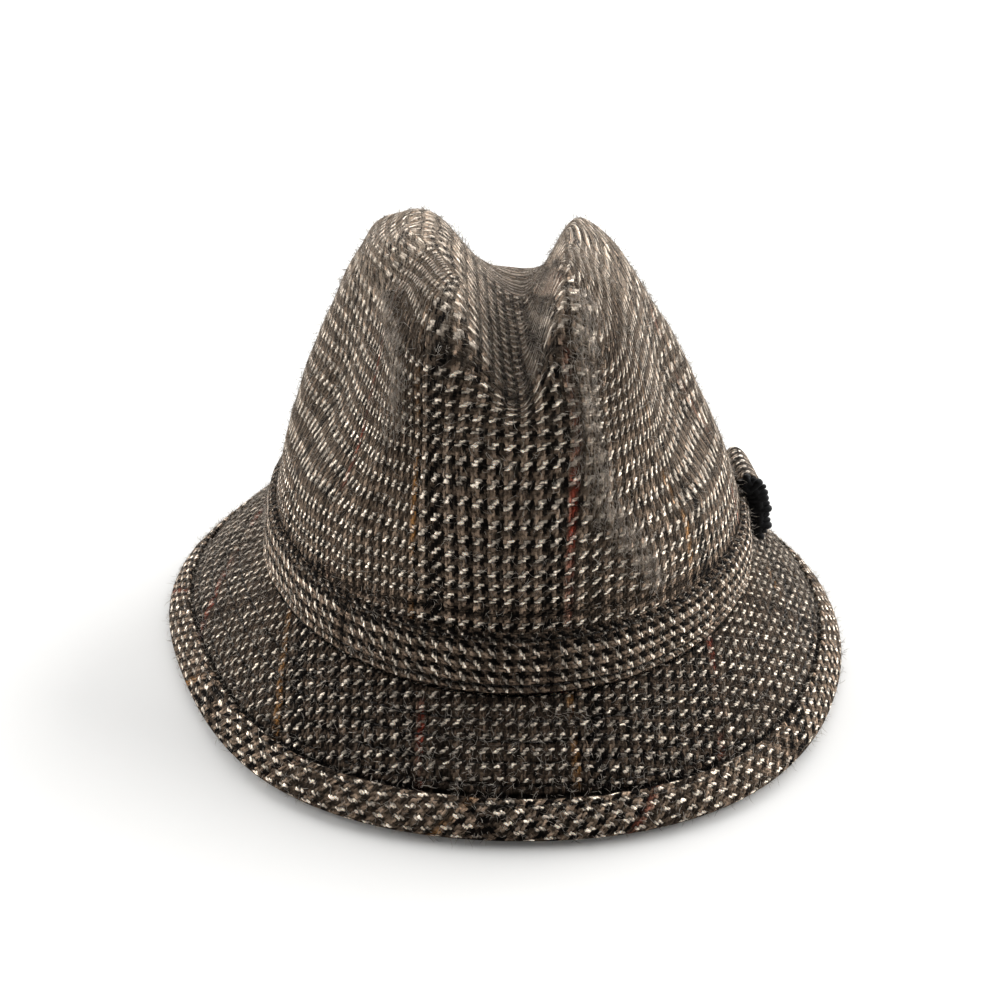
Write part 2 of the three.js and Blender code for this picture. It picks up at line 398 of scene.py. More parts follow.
class NodeBench:
    """Adds and joins the nodes of one material."""

    def __init__(self, name: str) -> None:
        """Starts an empty material with a shader and an output.

        Args:
            name: the material's name.
        """
        self.material = bpy.data.materials.new(name)
        self.material.use_nodes = True
        self.tree = self.material.node_tree
        self.tree.nodes.clear()
        self.shader = self.add("BsdfPrincipled")
        output = self.add("OutputMaterial")
        self.tree.links.new(self.shader.outputs["BSDF"], output.inputs["Surface"])

    def add(self, kind: str) -> bpy.types.Node:
        """A new node, by the end of its type's name."""
        return self.tree.nodes.new("ShaderNode" + kind)

    def join(self, socket: bpy.types.NodeSocket, value: Link | Colour) -> None:
        """Links a socket to a wire, or sets it to a constant.

        Args:
            socket: the input to feed.
            value: a wire, a number, or a colour or vector.
        """
        if isinstance(value, Wire):
            self.tree.links.new(value.socket, socket)
        elif isinstance(value, tuple) and socket.type == "RGBA":
            socket.default_value = (*value, 1.0)
        else:
            socket.default_value = value

    def feed(self, node: bpy.types.Node, *values: Link | Colour) -> Wire:
        """Joins values to a node's inputs in their order.

        Args:
            node: the node.
            values: what its first inputs take.

        Returns:
            Its first output.
        """
        for socket, value in zip(node.inputs, values):
            self.join(socket, value)
        return Wire(self, node.outputs[0])

    def math(self, kind: str, *values: Link) -> Wire:
        """The output of one Math node.

        Args:
            kind: its operation.
            values: what it works on.

        Returns:
            The result.
        """
        node = self.add("Math")
        node.operation = kind
        return self.feed(node, *values)

    def vector(self, kind: str, a: Wire, b: Link | Colour) -> Wire:
        """The output of one Vector Math node.

        Args:
            kind: its operation.
            a: first vector.
            b: second vector, or the number that a scale takes.

        Returns:
            The vector.
        """
        node = self.add("VectorMath")
        node.operation = kind
        self.join(node.inputs["Scale" if kind == "SCALE" else 1], b)
        return self.feed(node, a)

    def noise(self, where: Wire, scale: float, detail: float, out: str = "Fac") -> Wire:
        """Smooth chance over a vector.

        Args:
            where: the vector.
            scale: how fine it is.
            detail: how many finer layers it adds.
            out: Fac for a number or Color for three.

        Returns:
            Values round 0.5.
        """
        node = self.add("TexNoise")
        node.inputs["Scale"].default_value = scale
        node.inputs["Detail"].default_value = detail
        self.feed(node, where)
        return Wire(self, node.outputs[out])

    def grain(self, where: Wire, stretch: Colour, detail: float) -> Wire:
        """Smooth chance over a vector, finer along one axis than another.

        Args:
            where: the vector.
            stretch: how fine it is along each axis.
            detail: how many finer layers it adds.

        Returns:
            Values round 0.5.
        """
        return self.noise(self.vector("MULTIPLY", where, stretch), 1.0, detail)

    def blend(self, share: Link, a: Wire | Colour, b: Wire | Colour) -> Wire:
        """A mix of two colours.

        Args:
            share: how much of b.
            a: colour at share 0.
            b: colour at share 1.

        Returns:
            The colour.
        """
        node = self.add("Mix")
        node.data_type = "RGBA"
        for socket, value in zip((node.inputs[0], node.inputs[6], node.inputs[7]), (share, a, b)):
            self.join(socket, value)
        return Wire(self, node.outputs[2])

    def split(self, vector: Wire) -> tuple[Wire, Wire]:
        """The first two parts of a vector."""
        node = self.add("SeparateXYZ")
        return self.feed(node, vector), Wire(self, node.outputs[1])

    def together(self, x: Wire, y: Wire) -> Wire:
        """A vector of two values and a zero."""
        return self.feed(self.add("CombineXYZ"), x, y)

    def mark(self, name: str) -> Wire:
        """A named value that the mesh carries, 0 where it has none."""
        node = self.add("Attribute")
        node.attribute_name = name
        return Wire(self, node.outputs["Fac"])

    def place(self) -> Wire:
        """Where the surface lies on the object, in metres."""
        return Wire(self, self.add("TexCoord").outputs["Object"])

    def relief(self, height: Wire, deep: float) -> None:
        """Feeds the shader's normal from a height.

        Args:
            height: 0 low to 1 high.
            deep: how far apart those are, in metres.
        """
        node = self.add("Bump")
        node.inputs["Strength"].default_value = 1.0
        node.inputs["Distance"].default_value = deep
        self.join(node.inputs["Height"], height)
        self.tree.links.new(node.outputs[0], self.shader.inputs["Normal"])

    def surface(self, colour: Wire, roughness: float, specular: float, sheen: float = 0.0) -> None:
        """Feeds the shader's colour and sets what is the same all over.

        Args:
            colour: the surface's colour.
            roughness: how matt it is.
            specular: how much it shines.
            sheen: how much its loose fibres catch the light.
        """
        self.join(self.shader.inputs["Base Color"], colour)
        self.shader.inputs["Roughness"].default_value = roughness
        self.shader.inputs["Specular IOR Level"].default_value = specular
        self.shader.inputs["Sheen Weight"].default_value = sheen


class Weave:
    """The yarns of a two-and-two twill at each place on the cloth."""

    FLOAT = 2.0  # threads that a yarn passes over at a time, and threads of one colour
    REPEAT = 2 * FLOAT

    def __init__(self, bench: NodeBench, where: Wire, warp_pitch: float, weft_pitch: float) -> None:
        """Works out which yarn lies on top and where on it the place is.

        Args:
            bench: the material being made.
            where: the place on the cloth, in millimetres.
            warp_pitch: millimetres from one warp to the next.
            weft_pitch: millimetres from one weft to the next.
        """
        self.bench = bench
        self.where = where
        self.wear_and_sheen = bench.mark("wear_and_sheen")
        across, along = bench.split(where)
        self.warps, self.wefts = across / warp_pitch, along / weft_pitch
        self.threads = bench.together(self.warps, self.wefts)
        self.warp, self.weft = bench.math("FLOOR", self.warps), bench.math("FLOOR", self.wefts)
        over_weft = (self.warps - self.weft) % self.REPEAT
        over_warp = (self.wefts - self.warp - 1.0) % self.REPEAT
        self.weft_up = over_weft < self.FLOAT
        self.along = self.weft_up.choose(over_weft, over_warp) / self.FLOAT
        part_warp, part_weft = bench.math("FRACT", self.warps), bench.math("FRACT", self.wefts)
        self.across = self.weft_up.choose(part_weft, part_warp)
        self.light_weft = self.weft % self.REPEAT < self.FLOAT
        self.dark_warp = self.warp % self.REPEAT > self.FLOAT - 0.5
        self.light_up = self.weft_up * self.light_weft


@dataclass(frozen=True)
class Tweed:
    """Checked woollen twill: two over and two under, with coloured lines in the check."""

    name: str
    light: Colour = (0.82, 0.705, 0.58)
    middle: Colour = (0.200, 0.144, 0.103)
    dark: Colour = (0.0035, 0.0022, 0.0016)
    red: Colour = (0.26, 0.035, 0.018)
    mustard: Colour = (0.32, 0.15, 0.045)
    nap: Colour = (0.345, 0.278, 0.214)
    dark_weft: float = 0.5  # the dark wefts' brightness, as a share of the middle colour's
    stripe: float = 0.3  # a dark stripe's brightness, as a share of the middle colour's
    rubbed_and_sheen_nap: float = 1.9  # how much brighter the nap is where it is rubbed up and where painted sheen falls
    warp_pitch: float = 1.08  # millimetres from one thread to the next
    weft_pitch: float = 1.42
    warp_check: int = 44  # threads from one coloured line to the next
    weft_check: int = 64
    stripe_wide: float = 4.0  # threads
    red_at: float = 0.0  # where a red line runs, in millimetres across the cloth
    stripe_at: float = 0.0  # where a dark stripe starts, in millimetres along the cloth
    pale_block: float = 0.16  # how much paler the dark warps are in every other check
    rows_show: float = 0.0  # how much lighter the light wefts' rows are than the others
    rubbed_and_sheen_rows: float = 0.5  # how much more so where the cloth is rubbed and painted with sheen
    columns_show: float = 0.25  # how much darker the dark warps' columns are
    slant: float = 0.6  # how far a yarn's float leans across its row
    dip: float = 0.85  # how far a float's ends go down
    dip_power: float = 2.4  # how suddenly they do
    deep: float = 0.6  # millimetres from the lowest yarn to the highest
    fibre_relief: float = 0.45  # shares of that
    hair_relief: float = 0.3
    roughness: float = 0.95
    specular: float = 0.05
    # how fine the streaks of wool, the loose hair, the unevenness from yarn to yarn and the
    # patches are across and along the cloth, per millimetre for the first two, then per thread
    level_fibres: Colour = (0.4, 1.7, 1.0)
    upright_fibres: Colour = (1.5, 0.35, 1.0)
    level_hair: Colour = (0.3, 1.3, 1.0)
    upright_hair: Colour = (1.1, 0.13, 1.0)
    uneven_stretch: Colour = (0.8, 0.9, 1.0)
    patch_stretch: Colour = (0.30, 0.42, 1.0)
    # how the hand-woven yarns wander: how fine, and how far in millimetres
    wander: tuple[tuple[float, float], ...] = ((70.0, 1.8), (420.0, 0.8), (1300.0, 0.75), (3200.0, 0.5))
    # painted shade between the yarns, by a yarn's height: a light float, a light float where the cloth
    # is rubbed and painted with sheen, and any other yarn
    light_float: Ramp = Ramp(0.06, 0.7, 0.04, 1.12)
    rubbed_and_sheen_float: Ramp = Ramp(0.0, 0.4, 0.16, 0.37)
    other_float: Ramp = Ramp(0.0, 0.5, 0.6, 1.05)
    # brightness by chance: from yarn to yarn, along its wool, and in patches
    uneven: Ramp = Ramp(0.32, 0.68, 0.4, 1.45)
    streaky: Ramp = Ramp(0.33, 0.67, 0.05, 1.95)
    rubbed_and_sheen_streaky: Ramp = Ramp(0.33, 0.67, 0.32, 1.62)
    patchy: Ramp = Ramp(0.3, 0.7, 0.25, 1.7)
    # loose hair over the yarns, where the cloth is new and where it is worn and painted with sheen
    sparse_hair: Ramp = Ramp(0.57, 0.74, 0.0, 0.14)
    thick_hair: Ramp = Ramp(0.47, 0.68, 0.0, 0.72)
    # what wear, painted sheen and the painted shade at the seams and the front do
    rubbed_and_sheen_from: Ramp = Ramp(0.0, 0.3)
    napped_from: Ramp = Ramp(0.5, 0.9)
    wear_and_sheen_flat: Ramp = Ramp(0.0, 1.0, 1.0, 0.35)
    wear_and_sheen_lines: Ramp = Ramp(0.05, 0.4, 1.0, 0.3)
    painted_shade_ramp: Ramp = Ramp(0.1, 1.0, 1.0, 0.12)
    # the coloured lines: where they fade, and how their edges end, in threads
    fade_scale: float = 38.0
    faded: Ramp = Ramp(0.44, 0.60, 0.04, 0.9)
    line_edge: Ramp = Ramp(0.4, 1.6, 1.0, 0.0)

    def material(self) -> bpy.types.Material:
        """The cloth as a node material.

        Returns:
            The material, which reads the UV map named cloth in millimetres and two marks:
            one for wear and painted sheen, where rubbing raises the nap and where it is lit,
            and one for painted shade in the seams' grooves and at the front.
        """
        bench = NodeBench(self.name)
        weave = Weave(bench, self.wandering_cloth(bench), self.warp_pitch, self.weft_pitch)
        height = self.yarn_height(weave)
        fibre = self.fibres(weave)
        hair = self.loose_hair(weave)
        colour = bench.vector("SCALE", self.yarn_colour(weave), self.yarn_shade(weave, height, fibre))
        # painted sheen: the nap is brighter where the cloth is rubbed and where it is lit
        rubbed_and_sheen_nap = tuple(self.rubbed_and_sheen_nap * c for c in self.nap)
        nap = bench.blend(weave.wear_and_sheen.ramp(self.napped_from), self.nap, rubbed_and_sheen_nap)
        colour = bench.blend(hair, colour, nap)
        # painted shade: darker in the seams' grooves and at the front
        colour = bench.vector("SCALE", colour, bench.mark("sewn_and_shaded").ramp(self.painted_shade_ramp))
        bench.surface(colour, self.roughness, self.specular)
        relief = height * weave.wear_and_sheen.ramp(self.wear_and_sheen_flat)
        bench.relief(relief + fibre * self.fibre_relief + hair * self.hair_relief, self.deep * MM)
        return bench.material

    def wandering_cloth(self, bench: NodeBench) -> Wire:
        """The place on the cloth in millimetres, with hand-woven waviness.

        Args:
            bench: the material being made.

        Returns:
            A vector of millimetres across and along the cloth.
        """
        uv = bench.add("UVMap")
        uv.uv_map = "cloth"
        where = Wire(bench, uv.outputs[0])
        place = bench.place()
        for scale, reach in self.wander:
            noise = bench.noise(place, scale, 1.0, "Color")
            shift = bench.vector("SUBTRACT", noise, (0.5, 0.5, 0.5))
            where = bench.vector("ADD", where, bench.vector("SCALE", shift, reach))
        return where

    def yarn_height(self, weave: Weave) -> Wire:
        """The rounded form of a yarn as it rises over its neighbours and dips under.

        Args:
            weave: the yarns.

        Returns:
            Height, 0 to 1.
        """
        end = weave.along - 0.5
        off = abs((end * -self.slant + weave.across) * 2.0 - 1.0)
        off = weave.bench.math("MINIMUM", off, 1.0)
        end = abs(end * 2.0) ** self.dip_power
        return (1.0 - off * off) * (end * -self.dip + 1.0)

    def yarn_shade(self, weave: Weave, height: Wire, fibre: Wire) -> Wire:
        """How bright the yarn on top is, with painted shade where it dips under its neighbours.

        Args:
            weave: the yarns.
            height: how high the yarn stands.
            fibre: the streaks of its wool.

        Returns:
            What its colour is multiplied by.
        """
        bench = weave.bench
        # where the cloth is rubbed and painted with sheen, its light floats are duller and its rows
        # lighter
        rubbed_and_sheen = weave.wear_and_sheen.ramp(self.rubbed_and_sheen_from)
        light = rubbed_and_sheen.choose(height.ramp(self.rubbed_and_sheen_float), height.ramp(self.light_float))
        shade = weave.light_up.choose(light, height.ramp(self.other_float))
        rows = rubbed_and_sheen.ramp(Ramp(0.0, 1.0, self.rows_show, self.rows_show + self.rubbed_and_sheen_rows))
        rows = rows * (weave.light_weft * 2.0 - 1.0) + 1.0
        columns = weave.dark_warp.choose(1 - 0.8 * self.columns_show, 1 + 0.5 * self.columns_show)
        shade = shade * (rows * columns)
        uneven = bench.grain(weave.threads, self.uneven_stretch, 1.0).ramp(self.uneven)
        shade = weave.light_up.choose(shade * uneven, shade)
        shade = shade * rubbed_and_sheen.choose(fibre.ramp(self.rubbed_and_sheen_streaky), fibre.ramp(self.streaky))
        return shade * bench.grain(weave.threads, self.patch_stretch, 2.0).ramp(self.patchy)

    def yarn_colour(self, weave: Weave) -> Wire:
        """The colour of the yarn on top.

        Args:
            weave: the yarns.

        Returns:
            The colour.
        """
        bench = weave.bench
        first = float(round(self.red_at / self.warp_pitch))
        check = float(self.warp_check)
        from_line = (weave.warp - first) % check
        before_line = bench.math("COMPARE", from_line, check - 5.5, 1.0)
        beside_line = before_line + bench.math("COMPARE", from_line, 8.0, 1.5)
        stripe = (weave.weft - float(round(self.stripe_at / self.weft_pitch))) % float(self.weft_check)
        weft = bench.blend(weave.light_weft, self.darker(self.dark_weft), self.light)
        weft = bench.blend(stripe < self.stripe_wide, weft, self.darker(self.stripe))
        in_pale_block = (weave.warp - first) % (2 * check) < check
        dark = bench.blend(in_pale_block * self.pale_block, self.dark, self.middle)
        is_dark = bench.math("MAXIMUM", weave.dark_warp, bench.math("MINIMUM", beside_line, 1.0))
        warp = bench.blend(is_dark, self.middle, dark)
        kept = bench.noise(bench.place(), self.fade_scale, 1.0).ramp(self.faded)
        # the coloured lines fade where the cloth is rubbed and painted with sheen
        kept = kept * weave.wear_and_sheen.ramp(self.wear_and_sheen_lines)
        for colour, line_at in ((self.red, first), (self.mustard, first + check)):
            off = abs((weave.warps - (line_at + 0.5 - check)) % (2 * check) - check)
            dyed = off.ramp(self.line_edge) * kept
            warp = bench.blend(dyed, warp, colour)
            weft = bench.blend(dyed * 0.5, weft, colour)
        return bench.blend(weave.weft_up, warp, weft)

    def darker(self, share: float) -> Colour:
        """The middle colour at a share of its brightness."""
        return tuple(share * c for c in self.middle)

    def fibres(self, weave: Weave) -> Wire:
        """Streaks of wool along the light wefts, and along the warp everywhere else.

        Args:
            weave: the yarns.

        Returns:
            A value round 0.5.
        """
        level = weave.bench.grain(weave.where, self.level_fibres, 3.0)
        return weave.light_up.choose(level, weave.bench.grain(weave.where, self.upright_fibres, 3.0))

    def loose_hair(self, weave: Weave) -> Wire:
        """Loose hair lying over the yarns, thicker where the cloth has wear and painted sheen.

        Args:
            weave: the yarns.

        Returns:
            How much hair covers the yarns.
        """
        upright = weave.bench.grain(weave.where, self.upright_hair, 4.0)
        level = weave.bench.grain(weave.where, self.level_hair, 3.0) - 0.04
        hair = weave.bench.math("MAXIMUM", upright, level)
        return weave.wear_and_sheen.choose(hair.ramp(self.thick_hair), hair.ramp(self.sparse_hair))


@dataclass(frozen=True)
class Yarn:
    """A plain twisted or loose yarn, thread or stray wool fibre."""

    name: str
    pale: Colour
    deep: Colour
    spread: float  # how fine the change from one to the other is
    roughness: float = 0.85
    sheen: float = 0.2

    def material(self) -> bpy.types.Material:
        """The yarn as a node material that reads Object coordinates."""
        bench = NodeBench(self.name)
        share = bench.noise(bench.place(), self.spread, 3.0).ramp(Ramp(0.35, 0.65))
        colour = bench.blend(share, self.deep, self.pale)
        bench.surface(colour, self.roughness, specular=0.2, sheen=self.sheen)
        bench.relief(bench.noise(bench.place(), 4000.0, 2.0), 0.1 * MM)
        return bench.material


def finished(
    piece: bpy.types.Object, finish: Tweed | Yarn, node: str | None = None
) -> bpy.types.Object:
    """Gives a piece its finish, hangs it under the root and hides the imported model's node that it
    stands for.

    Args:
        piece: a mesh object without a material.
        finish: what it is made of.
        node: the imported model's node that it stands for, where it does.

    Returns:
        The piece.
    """
    piece.data.materials.append(finish.material())
    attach(piece, "root")
    if node:
        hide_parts(node)
    return piece


class ClothTurn(Enum):
    """How a piece is cut from the cloth: the angle its length makes with the weft."""

    STRAIGHT = 0.0
    TURNED = 90.0
    BIAS = -42.0

    def lay(self, along: Array, across: Array) -> Array:
        """Places on the cloth for places on the piece.

        Args:
            along: millimetres along the piece.
            across: millimetres across it, upwards.

        Returns:
            Cloth coordinates, with a last axis of 2.
        """
        angle = math.radians(self.value)
        along, across = np.broadcast_arrays(along, across)
        return np.stack(
            [
                along * math.cos(angle) + across * math.sin(angle),
                across * math.cos(angle) - along * math.sin(angle),
            ],
            axis=-1,
        )


# ---- the crown's form -----------------------------------------------------------------


@dataclass(frozen=True)
class Fold:
    """A hand-made fold: how deep it goes in at a place on the crown."""

    azimuth: float
    share: float
    wide: float
    tall: float
    depth: float


@dataclass(frozen=True)
class DentEnd:
    """One end of the centre dent."""

    y: float
    middle: float
    floor: float
    left: float
    right: float
    narrowness: float


@dataclass
class CrownForm:
    """The blocked crown's surface, which the band and the brim follow."""

    # share of the way up, rise, reach to -X, +X, -Y and +Y
    sections: tuple[tuple[float, ...], ...] = (
        (0.0, 27, 86.5, 90, 105.5, 104),
        (0.16, 48, 82, 85, 101.5, 101),
        (0.36, 77, 73.9, 72.2, 93, 93),
        (0.56, 105, 63, 55.9, 83, 80),
        (0.74, 129.4, 51.1, 38.2, 69, 60),
        (0.88, 139, 39.8, 22.4, 47, 38),
        (1.0, 146, 0, 0, 0, 0),
    )
    dent_front: DentEnd = DentEnd(-80, 0, 107.5, 18, 11, 2.0)
    dent_back: DentEnd = DentEnd(75, 8.8, 102.4, 45.6, 25.8, 0.88)
    left_opening: float = 0.33  # how evenly the dent widens to the back, 1 for evenly
    right_opening: float = 0.7
    edge_softness: float = 3.0
    lowered_from: float = 0.4  # share of the way up from which an inner face lies fully lower
    folds: tuple[Fold, ...] = (
        Fold(-148, 0.52, 17, 0.16, 5.0),
        Fold(-36, 0.5, 17, 0.16, 5.0),
        Fold(-116, 0.62, 13, 0.16, -3.0),
        Fold(-63, 0.6, 11, 0.16, -2.5),
    )

    def section_at(self, share: Array) -> list[Array]:
        """The table's columns at some shares of the way up.

        Args:
            share: 0 at the foot to 1 at the top.

        Returns:
            Rise and the reach to each side, each shaped as share.
        """
        rows = np.array(self.sections, dtype=float)
        knots, last = rows[:, 0], len(rows) - 1
        before = np.maximum(np.arange(last + 1) - 1, 0)
        after = np.minimum(np.arange(last + 1) + 1, last)
        slopes = (rows[after] - rows[before]) / (knots[after] - knots[before])[:, None]
        slopes[last, 1] = 0.0  # level at the top
        columns = range(1, rows.shape[1])
        return [curve_through(knots, rows[:, k], slopes[:, k], share) for k in columns]

    def points(
        self, angle: Array, share: Array, inset: Array | float = 0.0, pressed: bool = True
    ) -> Array:
        """Points of the crown.

        Args:
            angle: angles round the hat.
            share: 0 at the foot to 1 at the top.
            inset: how far inside the outer face they lie.
            pressed: whether the dent and the folds are pressed in.

        Returns:
            Positions in millimetres, shaped as the arguments with a last axis of 3.
        """
        angle, share, inset = np.broadcast_arrays(angle, share, inset)
        rise, left, right, front, back = self.section_at(share)
        c, s = np.cos(angle), np.sin(angle)
        x = np.where(c < 0, left, right) * c
        y = np.where(s < 0, front, back) * s
        if not pressed:
            return np.stack([x, y, rise], axis=-1)
        radius = np.hypot(x, y)
        azimuth = np.degrees(np.arctan2(y, x))
        pushed = np.where(radius > 0, inset, 0.0)
        for fold in self.folds:
            turn = (azimuth - fold.azimuth + 540) % 360 - 180
            pushed = pushed + fold.depth * bump(turn, 0, fold.wide) * bump(share, fold.share, fold.tall)
        scale = np.maximum(radius - pushed, 0) / np.maximum(radius, 1e-9)
        x, y = x * scale, y * scale
        z = self.dented(x, y, rise - inset * clamp01(share / self.lowered_from), inset)
        return np.stack([x, y, z], axis=-1)

    def dented(self, x: Array, y: Array, rise: Array, inset: Array) -> Array:
        """The height left after the centre dent is pressed in.

        Args:
            x: place across the hat.
            y: place along the hat.
            rise: height of the undented crown there.
            inset: how far inside the outer face it lies.

        Returns:
            The height.
        """
        front, back = self.dent_front, self.dent_back
        along = clamp01((y - front.y) / (back.y - front.y))
        middle = mix(front.middle, back.middle, along)
        on_left = x < middle
        width = np.where(
            on_left,
            mix(front.left, back.left, along**self.left_opening),
            mix(front.right, back.right, along**self.right_opening),
        )
        sideways = clamp01(np.abs(x - middle) / (width + inset))
        press = (0.5 + 0.5 * np.cos(np.pi * sideways)) ** mix(front.narrowness, back.narrowness, along)
        floor = mix(front.floor, back.floor, along) - inset
        soft = self.edge_softness
        return rise - soft * np.logaddexp(0.0, (rise - floor) / soft) * press

    def share_at(self, rise: Array) -> Array:
        """The share of the way up that has this rise, near the foot."""
        (_, foot, *_), (share, above, *_) = self.sections[:2]
        return share * (rise - foot) / (above - foot)


@dataclass(frozen=True)
class Crease:
    """A rubbed ridge that hands have pinched into the crown."""

    # degrees from the front in the crown's own ring, and share of the way up
    route: tuple[tuple[float, float], ...]
    nap: float  # how wide the nap is rubbed up
    napped: Growth = Growth(1.0, 0.1, 0.15)  # share of the way up where that starts
    proud: float = 1.6
    wide: float = 5.0

    def distance(self, form: CrownForm, points: Array) -> Array:
        """How far points are from the ridge's line.

        Args:
            form: the crown that carries it.
            points: positions in millimetres.

        Returns:
            Millimetres, shaped as points without the last axis.
        """
        knots = np.array(self.route)
        where = np.linspace(0, len(knots) - 1, 60)
        degrees, share = (np.interp(where, np.arange(len(knots)), knots[:, k]) for k in (0, 1))
        line = form.points(np.radians(degrees - 90), share)
        nearest = np.full(points.shape[:-1], np.inf)
        for spot in line:
            nearest = np.minimum(nearest, np.linalg.norm(points - spot, axis=-1))
        return nearest


# ---- pieces ---------------------------------------------------------------------------


@dataclass
class Crown:
    """The blocked crown: one piece of cloth over the whole head."""

    form: CrownForm
    wall: float = 2.0
    around: int = 480
    up: int = 122
    inside: int = 24
    middle: tuple[float, float, float] = (0.0, 0.0, 60.0)  # what its face looks away from
    lumps: Lumps = ((0.55, 46, 3), (0.28, 19, 5))
    lumpy: Growth = Growth(1.0, 48, 25)  # millimetres up
    creases: tuple[Crease, ...] = (
        Crease(
            ((-39, 0.2), (-38, 0.36), (-31.5, 0.53), (-34, 0.62), (-47, 0.73)),
            nap=2.6,
            napped=Growth(1.0, 0.42, 0.15),
        ),
        Crease(((30, 0.22), (19.5, 0.39), (19, 0.55), (22, 0.66), (31, 0.76)), nap=3.7),
    )
    ragged: Lumps = ((1.5, 8, 31), (0.8, 3.5, 33))  # how the rubbed ridges' edges wander
    # painted sheen where the lamps graze the nap, on the sides, the top and the dent: by degrees from
    # the front, millimetres up and millimetres pressed in
    least_sheen: float = 0.04
    sheen_left: Growth = Growth(0.28, 26, 14)
    sheen_right: Growth = Growth(0.24, 34, 14)
    sheen_above: Growth = Growth(1.0, 52, 22)
    sheen_fades_back: Growth = Growth(0.8, 105, 35)
    sheen_dent: Growth = Growth(0.3, 6, 14)
    sheen_top: Growth = Growth(0.4, 116, 16)
    sheen_high: Growth = Growth(0.12, 94, 14)
    most_sheen: float = 0.7
    # how the cloth was drawn when it was blocked
    tip: float = 0.9  # share of the way up where the flat-laid top begins
    # degrees from the front, and how far the cloth is drawn forwards there for each mm up
    drawn: tuple[tuple[float, float], ...] = (
        (0, 0),
        (18, 0.02),
        (28, 0.45),
        (38, 0.95),
        (52, 0.87),
        (66, 0.76),
        (90, 0.56),
        (130, 0.22),
        (180, 0),
    )
    drawn_from: float = 0.3  # share of the way up where that starts
    drawn_softly: float = 5.0  # millimetres over which it starts
    drawn_most: float = 44.0
    closer: float = 0.35  # how much closer the warps lie on the wearer's right side
    closer_from: float = 30.0  # millimetres round from the front where they do
    tilt: tuple[float, float] = (0.13, -0.10)  # how the wefts fall to the sides, low and high
    tilt_turn: Growth = Growth(1.0, 0.2, 0.25)  # share of the way up where low becomes high
    tilt_reach: tuple[float, float] = (25.0, 85.0)  # millimetres round from the front
    tilt_ends: Growth = Growth(1.0, 75, 60)  # degrees from the front
    gathered: float = 0.3  # how much cloth the centre dent takes up
    gather_wide: float = 24.0
    top_laid: Growth = Growth(1.0, 0.5, 0.22)  # share of the way up, at the front
    top_ends: Growth = Growth(1.0, 14, 22)  # degrees from the front
    shrunk: float = 0.5  # how much closer the wefts lie where the foot was steamed to size
    shrunk_below: float = 0.4
    shrunk_run: float = 0.2

    def shell(self) -> tuple[Array, Array, Array, Array]:
        """The crown's points, where they lie on the flat cloth, and their wear and painted sheen.

        Returns:
            Positions, cloth coordinates, and wear with painted sheen, from the inner top down and up
            the outside, and how near each outer point is to a crease.
        """
        angle = round_the_hat(self.around)[:, None]
        outer_share = np.sort(np.append(np.linspace(0, 1, self.up + 1), [self.tip] * 2))[None, :]
        inner_share = np.linspace(1, 0, self.inside + 1)[None, :]
        outer = self.form.points(angle, outer_share)
        outer = self.moved_out(outer, lumps(outer, self.lumps) * self.lumpy.at(outer[..., 2]))
        creased = np.zeros(outer.shape[:2])
        for crease in self.creases:
            away = crease.distance(self.form, outer)
            outer = self.moved_out(outer, crease.proud * bump(away, 0, crease.wide))
            rubbed_and_sheen = bump(away + lumps(outer, self.ragged), 0, crease.nap)
            creased = np.maximum(creased, rubbed_and_sheen * crease.napped.at(outer_share))
        unpressed = self.form.points(angle, outer_share, pressed=False)
        # wear along the creases, and painted sheen elsewhere
        wear_and_sheen = np.maximum(creased, self.painted_sheen(outer, unpressed[..., 2] - outer[..., 2]))
        inner = self.form.points(angle, inner_share, self.wall)
        cloth_out = self.on_cloth(unpressed, outer_share)
        picked = np.searchsorted(outer_share[0], inner_share[0] - 1e-6)
        points = np.concatenate([inner, outer], axis=1)
        cloth = np.concatenate([cloth_out[:, picked], cloth_out], axis=1)
        wear_and_sheen = np.concatenate([np.zeros(inner.shape[:2]), wear_and_sheen], axis=1)
        points[-1] = points[0]
        return points, cloth, wear_and_sheen, creased

    def moved_out(self, outer: Array, by: Array) -> Array:
        """Points of the outer face moved away from the crown's middle.

        Args:
            outer: positions on the outer face.
            by: how far each is moved, in millimetres.

        Returns:
            The moved positions.
        """
        return outer + unit(outer - np.array(self.middle)) * by[..., None]

    def painted_sheen(self, outer: Array, pressed_in: Array) -> Array:
        """Painted sheen on the lit sides, the top and the dent, besides the creases.

        Args:
            outer: positions on the outer face.
            pressed_in: how far the dent and the folds lowered each.

        Returns:
            Painted sheen, 0 to 1.
        """
        off = np.degrees(from_front(outer[..., 0], outer[..., 1]))
        rise = outer[..., 2]
        sides = self.least_sheen + self.sheen_left.at(off) + self.sheen_right.at(-off)
        sides = sides * self.sheen_above.at(rise) * (1 - self.sheen_fades_back.at(np.abs(off)))
        dented = self.sheen_dent.at(pressed_in)
        high = self.sheen_top.at(rise) + self.sheen_high.at(rise)
        return np.minimum(sides + dented + high, self.most_sheen)

